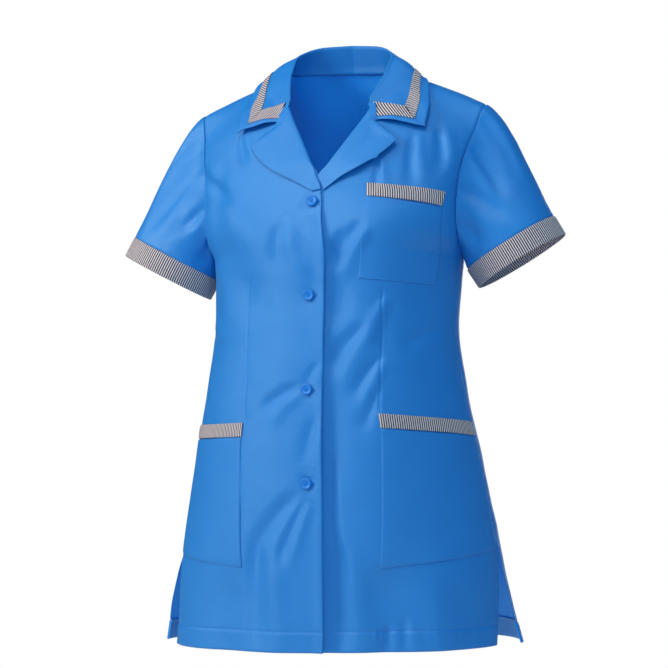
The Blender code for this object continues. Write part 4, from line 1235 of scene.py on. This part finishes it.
def lapel_sheet(side, material):
    """The turned-back top of a front: its fall, the roll over the front's edge, the facing inside."""
    alongs = spaced((GORGE["along"], 0, 10), (0, 0.02, 3), (0.02, 0.98, 54), (0.98, 1, 3))
    acrosses = spaced((0, 0.96, 34), (0.96, 1, 4))
    along, across = np.meshgrid(alongs, acrosses, indexing="ij")
    lines = {name: LAPEL[name].copy() for name in ("in_drop", "out_share", "out_drop")}
    if side > 0:
        for name, value in zip(lines, DRESSED_LEFT_FOOT):
            lines[name][-1] = value
    places = np.concatenate([[GORGE["along"]], LAPEL["along"]])
    tops = [GORGE["in_drop"], lines["out_share"][0], lines["out_drop"][0] - 0.002]
    values = [np.concatenate([[top], lines[name]]) for top, name in zip(tops, lines)]
    in_drop, out_share, out_drop = [lapel_line(along, places, value) for value in values]
    start = overlap_share(side, in_drop) + ROLL_SHARE * soft_step((1 - along) / 0.12)
    share = start + (out_share - start) * across
    drop = in_drop + (out_drop - in_drop) * across
    under, normals, u, v = laid(partial(front_face, side), share, drop)
    foot = soft_step((1 - along) / 0.35)
    crest = LAPEL_LIFT + LAPEL_ROLL * foot
    bulge = LAPEL_BULGE * np.sin(math.pi * np.clip(across, 0, 1)) * foot
    stand_off = LAPEL_STAND[side] * foot * soft_step((across - 0.35) / 0.65)
    stand_off *= soft_step((along + 0.10) / 0.30)
    lift = LAPEL_LIFT + (crest - LAPEL_LIFT) * (1 - across) ** 2 + bulge + stand_off
    rim = u[:, -1:] - u
    lift = lift + 0.0004 * unrest(u, v, 3.0 + side) * foot - 0.0002 * bell(rim - 0.006, 0.001)
    grid = under + lift[..., None] * normals
    out = under[:, 0] - under[:, 2]
    for way in (unit(under[-1:, 0] - under[:1, 0]), normals[:, 0]):
        out = square_to(out, way)
    out = unit(out)
    low = -(CLOTH + 0.0010)
    high = lift[:, 0]
    radius = (high - low) / 2
    reach = radius * soft_step((1 - alongs) / 0.25)
    roll = []
    for angle in np.radians([180, 150, 120, 90, 60, 30]):
        height = (high + low) / 2 + radius * math.cos(angle)
        ahead = reach * math.sin(angle)
        roll.append(under[:, 0] + height[:, None] * normals[:, 0] + ahead[:, None] * out)
    facing_in = [under[:, k] + low * normals[:, k] for k in (8, 5, 2)]
    grid = np.concatenate([np.stack(facing_in + roll, axis=1), grid], axis=1)
    name = "lapel_left" if side > 0 else "lapel_right"
    shell(name, grid, normals[len(alongs) // 3, len(acrosses) // 2], CLOTH, material)


def patch_sheet(name, side, corners, thick, puff, material, thread):
    """A pocket or band on a front between four corners given as (share, drop)."""
    rows = spaced((0, 0.03, 3), (0.03, 0.97, 40 if puff else 9), (0.97, 1, 3))
    columns = spaced((0, 0.03, 3), (0.03, 0.97, 46), (0.97, 1, 3))
    down, across = np.meshgrid(rows, columns, indexing="ij")
    top_in, top_out, low_in, low_out = np.array(corners)
    upper = top_in + (top_out - top_in) * across[..., None]
    lower = low_in + (low_out - low_in) * across[..., None]
    share, drop = np.moveaxis(upper + (lower - upper) * down[..., None], -1, 0)
    grid, normals, u, v = laid(partial(front_face, side), share, drop)
    edges = [u, u[:, -1:] - u, v[-1:] - v]
    if not puff:
        edges.append(v)
    lift = turn_at_dart(side, grid, drop) + LAY_GAP * 0.5 + thick
    lift += puff * np.sin(math.pi * across) * (1 - down) ** 2 + 0.0003 * unrest(u, v, 5.0)
    for distance in edges:
        lift -= 0.0003 * bell(distance, 0.0008) + 0.00025 * bell(distance - 0.002, 0.0008)
        lift += 0.0002 * ripple(u + v, 1.0) * bell(distance - 0.004, 0.005)
    grid = grid + lift[..., None] * normals
    shell(name, grid, (0.0, -1.0, 0.0), thick, material)
    if puff:
        inset = [line_at(grid[::-1], normals[::-1], edges[2][::-1], PATCH_STITCH)]
        inset += [side_line(grid, normals, edges[i], way, PATCH_STITCH) for i, way in ((0, 1), (1, -1))]
        stitches(name + "_stitches", inset, thread)


def pocket_sheets(blue, striped, thread):
    """Chest pocket and two hip pockets with their bands."""
    patch_sheet("chest_pocket", 1, CHEST_POCKET, CLOTH, PATCH_PUFF, blue, thread)
    patch_sheet("chest_band", 1, CHEST_BAND, 2 * CLOTH, 0.0, striped, thread)
    start = HIP_SHARES["band_in"]
    end = HIP_SHARES["band_out"]
    for side, name in ((1, "left"), (-1, "right")):
        inner, outer = HIP_BAND_DROPS[name]
        band = [(start, inner), (end, outer), (start, inner + BAND_HEIGHT), (end, outer + BAND_HEIGHT)]
        body = [
            (HIP_SHARES["in"], inner + HIP_POCKET_BELOW),
            (end, outer + HIP_POCKET_BELOW),
            (HIP_SHARES["low_in"], HIP_LOW_DROPS[0]),
            (HIP_SHARES["low_out"], HIP_LOW_DROPS[1]),
        ]
        patch_sheet("hip_pocket_" + name, side, body, CLOTH, PATCH_PUFF, blue, thread)
        patch_sheet("hip_band_" + name, side, band, 2 * CLOTH, 0.0, striped, thread)


def button_piece(index, height, material):
    """A moulded button: raised rim, dished middle and four sewing holes."""
    point, normal = centre_front(height)
    side_way = unit(np.cross(np.array([0.0, 0.0, 1.0]), normal))
    up_way = np.cross(normal, side_way)
    count = 64
    rim = BUTTON_RADIUS - 0.0004
    radii = spaced((0.0003, 0.0036, 20), (0.0036, rim, 14), (rim, BUTTON_RADIUS, 4))
    angle = np.arange(count) * 2 * math.pi / count
    x = radii[:, None] * np.cos(angle)
    y = radii[:, None] * np.sin(angle)
    share = radii / BUTTON_RADIUS
    dome = BUTTON_TOP + BUTTON_RIM * bell(share - 0.80, 0.16)
    dome -= 0.0012 * np.clip((share - 0.86) / 0.14, 0, 1) ** 3
    rise = np.repeat(dome[:, None], count, axis=1)
    for a, b in ((1, 1), (1, -1), (-1, 1), (-1, -1)):
        away_from = np.hypot(x - a * HOLE_PLACE, y - b * HOLE_PLACE)
        rise -= HOLE_DEPTH * np.clip((HOLE_RADIUS - away_from) / 0.00025, 0, 1)
    rows = [point + x[..., None] * side_way + y[..., None] * up_way + rise[..., None] * normal]
    radial = np.cos(angle)[:, None] * side_way + np.sin(angle)[:, None] * up_way
    for radius, level in ((1.0, 0.0011), (0.93, 0.0006), (0.6, 0.0004), (0.0003 / BUTTON_RADIUS, 0.0004)):
        ring = BUTTON_RADIUS * radius * radial
        rows.append((point + ring + level * normal)[None])
    grid = np.concatenate(rows)
    number = np.arange(len(grid) * count).reshape(len(grid), count)
    number = np.concatenate([number, number[:, :1]], axis=1)
    corners = [number[:-1, :-1], number[1:, :-1], number[1:, 1:], number[:-1, 1:]]
    faces = np.stack(corners, axis=-1).reshape(-1, 4).tolist()
    faces += [number[0, :-1].tolist(), number[-1, :-1].tolist()]
    name = "button_" + str(index)
    settle(add_piece(name + "_moulding", grid.reshape(-1, 3), faces, material), name)


def buttonhole(index, height, material):
    """Close thread round a buttonhole across the front's edge, and the thread in the button's holes."""
    point, normal = centre_front(height)
    across = unit(np.cross(np.array([0.0, 0.0, 1.0]), normal))
    across *= np.sign(across[0])
    up = np.cross(normal, across)
    places = np.arange(*BUTTONHOLE_SPAN, BUTTONHOLE_PITCH)
    centres = []
    ways = []
    for row in (1, -1):
        for place in places:
            centres.append(point + place * across + row * BUTTONHOLE_HALF * up + 0.0004 * normal)
            ways.append(up)
    for end in (places[0], places[-1]):
        for step in (-0.0012, -0.0004, 0.0004, 0.0012):
            centres.append(point + end * across + step * up + 0.0006 * normal)
            ways.append(across)
    facings = np.repeat(normal[None], len(centres), axis=0)
    beads("buttonhole_" + str(index), np.array(centres), np.array(ways), facings, 0.0008, material)
    bars = np.array([point + side * HOLE_PLACE * up + BUTTON_TOP * normal for side in (1, -1)])
    sewn = np.repeat(across[None], 2, axis=0)
    beads("button_thread_" + str(index), bars, sewn, facings[:2], 0.0017, material)


# Materials


class Look:
    """A material whose nodes are added and joined by short calls."""

    def __init__(self, name, finish):
        self.material = bpy.data.materials.new(name)
        self.material.use_nodes = True
        self.tree = self.material.node_tree
        self.shader = self.tree.nodes["Principled BSDF"]
        for socket, value in finish.items():
            self.feed(self.shader.inputs[socket], value)

    def feed(self, socket, value):
        """Gives a socket a constant or another node's output."""
        if isinstance(value, bpy.types.NodeSocket):
            self.tree.links.new(value, socket)
        else:
            socket.default_value = value

    def fed(self, node, inputs, output=0):
        """Feeds a node's inputs and gives one of its outputs."""
        for key, value in inputs.items():
            self.feed(node.inputs[key], value)
        return node.outputs[output]

    def add(self, kind, inputs, output=0):
        """A new node with its inputs fed; gives one of its outputs."""
        return self.fed(self.tree.nodes.new(kind), inputs, output)

    def maths(self, operation, first, second=0.0):
        """Arithmetic on sockets or numbers."""
        node = self.tree.nodes.new("ShaderNodeMath")
        node.operation = operation
        return self.fed(node, {0: first, 1: second})

    def axis(self, number):
        """One way of the cloth's own map in metres: 0 across, 1 down."""
        source = self.tree.nodes.new("ShaderNodeUVMap")
        source.uv_map = "cloth_map"
        return self.add("ShaderNodeSeparateXYZ", {0: source.outputs[0]}, number)

    def wave(self, value, pitch):
        """Sine of a distance with the given pitch."""
        return self.maths("SINE", self.maths("MULTIPLY", value, 2 * math.pi / pitch))

    def cloud(self, scale, detail=2.0):
        """Soft unevenness fixed to the piece."""
        place = self.add("ShaderNodeTexCoord", {}, "Object")
        return self.add("ShaderNodeTexNoise", {"Vector": place, "Scale": scale, "Detail": detail})

    def weave(self, pitch):
        """Fine crossing threads and a soft unevenness, as bump; gives the threads."""
        crossing = self.maths("MULTIPLY", self.wave(self.axis(0), pitch), self.wave(self.axis(1), pitch))
        height = self.maths("ADD", crossing, self.maths("MULTIPLY", self.cloud(260.0, 3.0), 1.2))
        bump = self.add("ShaderNodeBump", {"Strength": 0.35, "Distance": WEAVE_DEPTH, "Height": height})
        self.feed(self.shader.inputs["Normal"], bump)
        return crossing

    def paint(self, factor, low, high):
        """Colours the shader between two colours by a factor; gives the finished material."""
        mix = self.tree.nodes.new("ShaderNodeMix")
        mix.data_type = "RGBA"
        self.feed(self.shader.inputs["Base Color"], self.fed(mix, {0: factor, 6: low, 7: high}, 2))
        return self.material


BLUE = (0.004, 0.210, 0.670, 1.0)
BLUE_DEEP = (0.003, 0.184, 0.620, 1.0)
# Lighter blues for the inner faces of the fronts and back: painted light inside the garment.
PAINTED_LIGHT_INSIDE_BLUE = (0.005, 0.330, 0.980, 1.0)
PAINTED_LIGHT_INSIDE_DEEP = (0.004, 0.295, 0.920, 1.0)
BUTTON_BLUE = (0.02, 0.24, 0.80, 1.0)
THREAD_BLUE = (0.030, 0.260, 0.780, 1.0)
WHITE_THREAD = (0.76, 0.66, 0.70, 1.0)
DARK_THREAD = (0.050, 0.022, 0.034, 1.0)
FLOOR_COLOUR = (0.90, 0.82, 0.76, 1.0)
CLOTH_FINISH = {
    "Roughness": 0.45,
    "Specular IOR Level": 1.0,
    "Specular Tint": (0.62, 0.95, 1.0, 1.0),
    "Sheen Weight": 0.06,
    "Sheen Roughness": 0.45,
    "Sheen Tint": (0.55, 0.75, 1.0, 1.0),
}
TRIM_FINISH = {"Roughness": 0.75, "Specular IOR Level": 0.25, "Sheen Weight": 0.10}


def blue_cloth(name, low, high):
    """Plain blue weave with a soft sheen, between two blues."""
    look = Look(name, CLOTH_FINISH)
    threads = look.maths("MULTIPLY", look.weave(CLOTH_WEAVE), 0.18)
    return look.paint(look.maths("ADD", look.cloud(34.0, 4.0), threads), low, high)


def striped_cloth(name, across, down, pitch):
    """Fine white and dark stripes; across and down weigh the two ways of the cloth's map."""
    look = Look(name, TRIM_FINISH)
    look.weave(TRIM_WEAVE)
    shares = [look.maths("MULTIPLY", look.axis(i), share) for i, share in enumerate((across, down))]
    run = look.maths("ADD", *shares)
    level = look.maths("ADD", look.maths("MULTIPLY", look.wave(run, pitch), 3.0), 0.18)
    return look.paint(look.add("ShaderNodeClamp", {0: level}), DARK_THREAD, WHITE_THREAD)


def speckled(name, scale, high, roughness):
    """An even blue with fine unevenness of its colour, for the buttons and the sewing thread."""
    look = Look(name, {"Roughness": roughness})
    return look.paint(look.cloud(scale), BLUE_DEEP, high)


# Studio: name, place, aim, size, power and colour of each soft light
LIGHTS = [
    ("key", (-2.6, -2.0, 1.3), (0.0, 0.0, -0.35), 1.1, 80.0, (1.0, 0.90, 0.72)),
    ("top", (0.1, -1.7, 2.3), (0.0, 0.0, -0.1), 1.2, 34.0, (1.0, 0.96, 0.84)),
    ("fill", (1.6, -4.2, 0.5), (0.0, 0.0, -0.35), 2.6, 32.0, (0.20, 0.66, 1.0)),
    ("back", (-0.6, 4.0, 0.2), (0.0, 0.0, -0.35), 2.4, 46.0, (1.0, 0.94, 0.82)),
]
# The surround as the cloth, its reflections and the camera see it: colour and strength
SURROUND = [((0.45, 0.76, 1.0, 1.0), 0.46), ((0.10, 0.35, 0.85, 1.0), 0.25), ((1.0, 1.0, 1.0, 1.0), 1.0)]
FLOOR_LEVEL = -1.40
CAMERA_TURN = math.radians(17.0)
CAMERA_DISTANCE = 4.0
CAMERA_HEIGHT = -0.293
VIEW_HALF = 0.4309
VIEW_SHIFT = (-7.0 / 668.0, -34.0 / 668.0)


def area_light(name, place, target, size, power, colour):
    """A square soft light aimed at a point."""
    lamp = bpy.data.lights.new(name, "AREA")
    lamp.size = size
    lamp.energy = power
    lamp.color = colour
    item = add_object(name, lamp)
    item.location = place
    way = mathutils.Vector(target) - mathutils.Vector(place)
    item.rotation_euler = way.to_track_quat("-Z", "Y").to_euler()


def surround():
    """The world's light, seen differently by cloth, reflections and camera."""
    world = bpy.data.worlds.new("studio")
    bpy.context.scene.world = world
    world.use_nodes = True
    tree = world.node_tree
    tree.nodes.clear()
    layers = []
    for colour, strength in SURROUND:
        layer = tree.nodes.new("ShaderNodeBackground")
        layer.inputs[0].default_value = colour
        layer.inputs[1].default_value = strength
        layers.append(layer.outputs[0])
    path = tree.nodes.new("ShaderNodeLightPath")
    shown = layers[0]
    for ray, layer in (("Is Glossy Ray", layers[1]), ("Is Camera Ray", layers[2])):
        mix = tree.nodes.new("ShaderNodeMixShader")
        tree.links.new(path.outputs[ray], mix.inputs[0])
        tree.links.new(shown, mix.inputs[1])
        tree.links.new(layer, mix.inputs[2])
        shown = mix.outputs[0]
    end = tree.nodes.new("ShaderNodeOutputWorld")
    tree.links.new(shown, end.inputs[0])


def studio():
    """Pale floor, white surround, a soft key from the picture's left, and the camera."""
    mesh = bpy.data.meshes.new("floor")
    corners = [(x, y, FLOOR_LEVEL) for x, y in ((-3, -3), (3, -3), (3, 3), (-3, 3))]
    mesh.from_pydata(corners, [], [(0, 1, 2, 3)])
    mesh.materials.append(Look("pale_floor", {"Base Color": FLOOR_COLOUR, "Roughness": 0.9}).material)
    add_object("floor", mesh)
    surround()
    for light in LIGHTS:
        area_light(*light)
    camera = bpy.data.cameras.new("camera")
    camera.sensor_width = 36.0
    camera.angle = 2 * math.atan(VIEW_HALF / CAMERA_DISTANCE)
    camera.shift_x, camera.shift_y = VIEW_SHIFT
    viewer = add_object("camera", camera)
    forward = CAMERA_DISTANCE * math.cos(CAMERA_TURN)
    viewer.location = (CAMERA_DISTANCE * math.sin(CAMERA_TURN), -forward, CAMERA_HEIGHT)
    viewer.rotation_euler = (math.pi / 2, 0.0, CAMERA_TURN)
    bpy.context.scene.camera = viewer
    bpy.context.scene.view_settings.view_transform = "Standard"


def main():
    """Builds every piece and the studio."""
    blue = blue_cloth("blue_weave", BLUE_DEEP, BLUE)
    # The inner faces' lighter blue is painted light inside the garment.
    painted_light_inside = blue_cloth("blue_painted_light_inside", PAINTED_LIGHT_INSIDE_DEEP, PAINTED_LIGHT_INSIDE_BLUE)
    lengthwise = striped_cloth("striped_band", 1.0, 0.0, STRIPE_PITCH)
    bias = striped_cloth("striped_tape", 0.7071, 0.7071, TAPE_PITCH)
    plastic = speckled("blue_plastic", 420.0, BUTTON_BLUE, 0.38)
    thread = speckled("blue_thread", 900.0, THREAD_BLUE, 0.55)
    samples = body_samples()
    studio()
    for side in (1, -1):
        front_sheet(side, blue, painted_light_inside, thread)
        lapel_sheet(side, blue)
    back_sheet(blue, painted_light_inside, thread)
    for side_name in ("left", "right"):
        sleeve_sheet(side_name, blue)
        cuff_sheet(side_name, lengthwise)
    collar_sheet(blue, samples)
    tape_sheet(bias, samples)
    pocket_sheets(blue, lengthwise, thread)
    for index, height in enumerate(BUTTON_DROPS):
        button_piece(index + 1, height, plastic)
        buttonhole(index + 1, height, thread)


main()
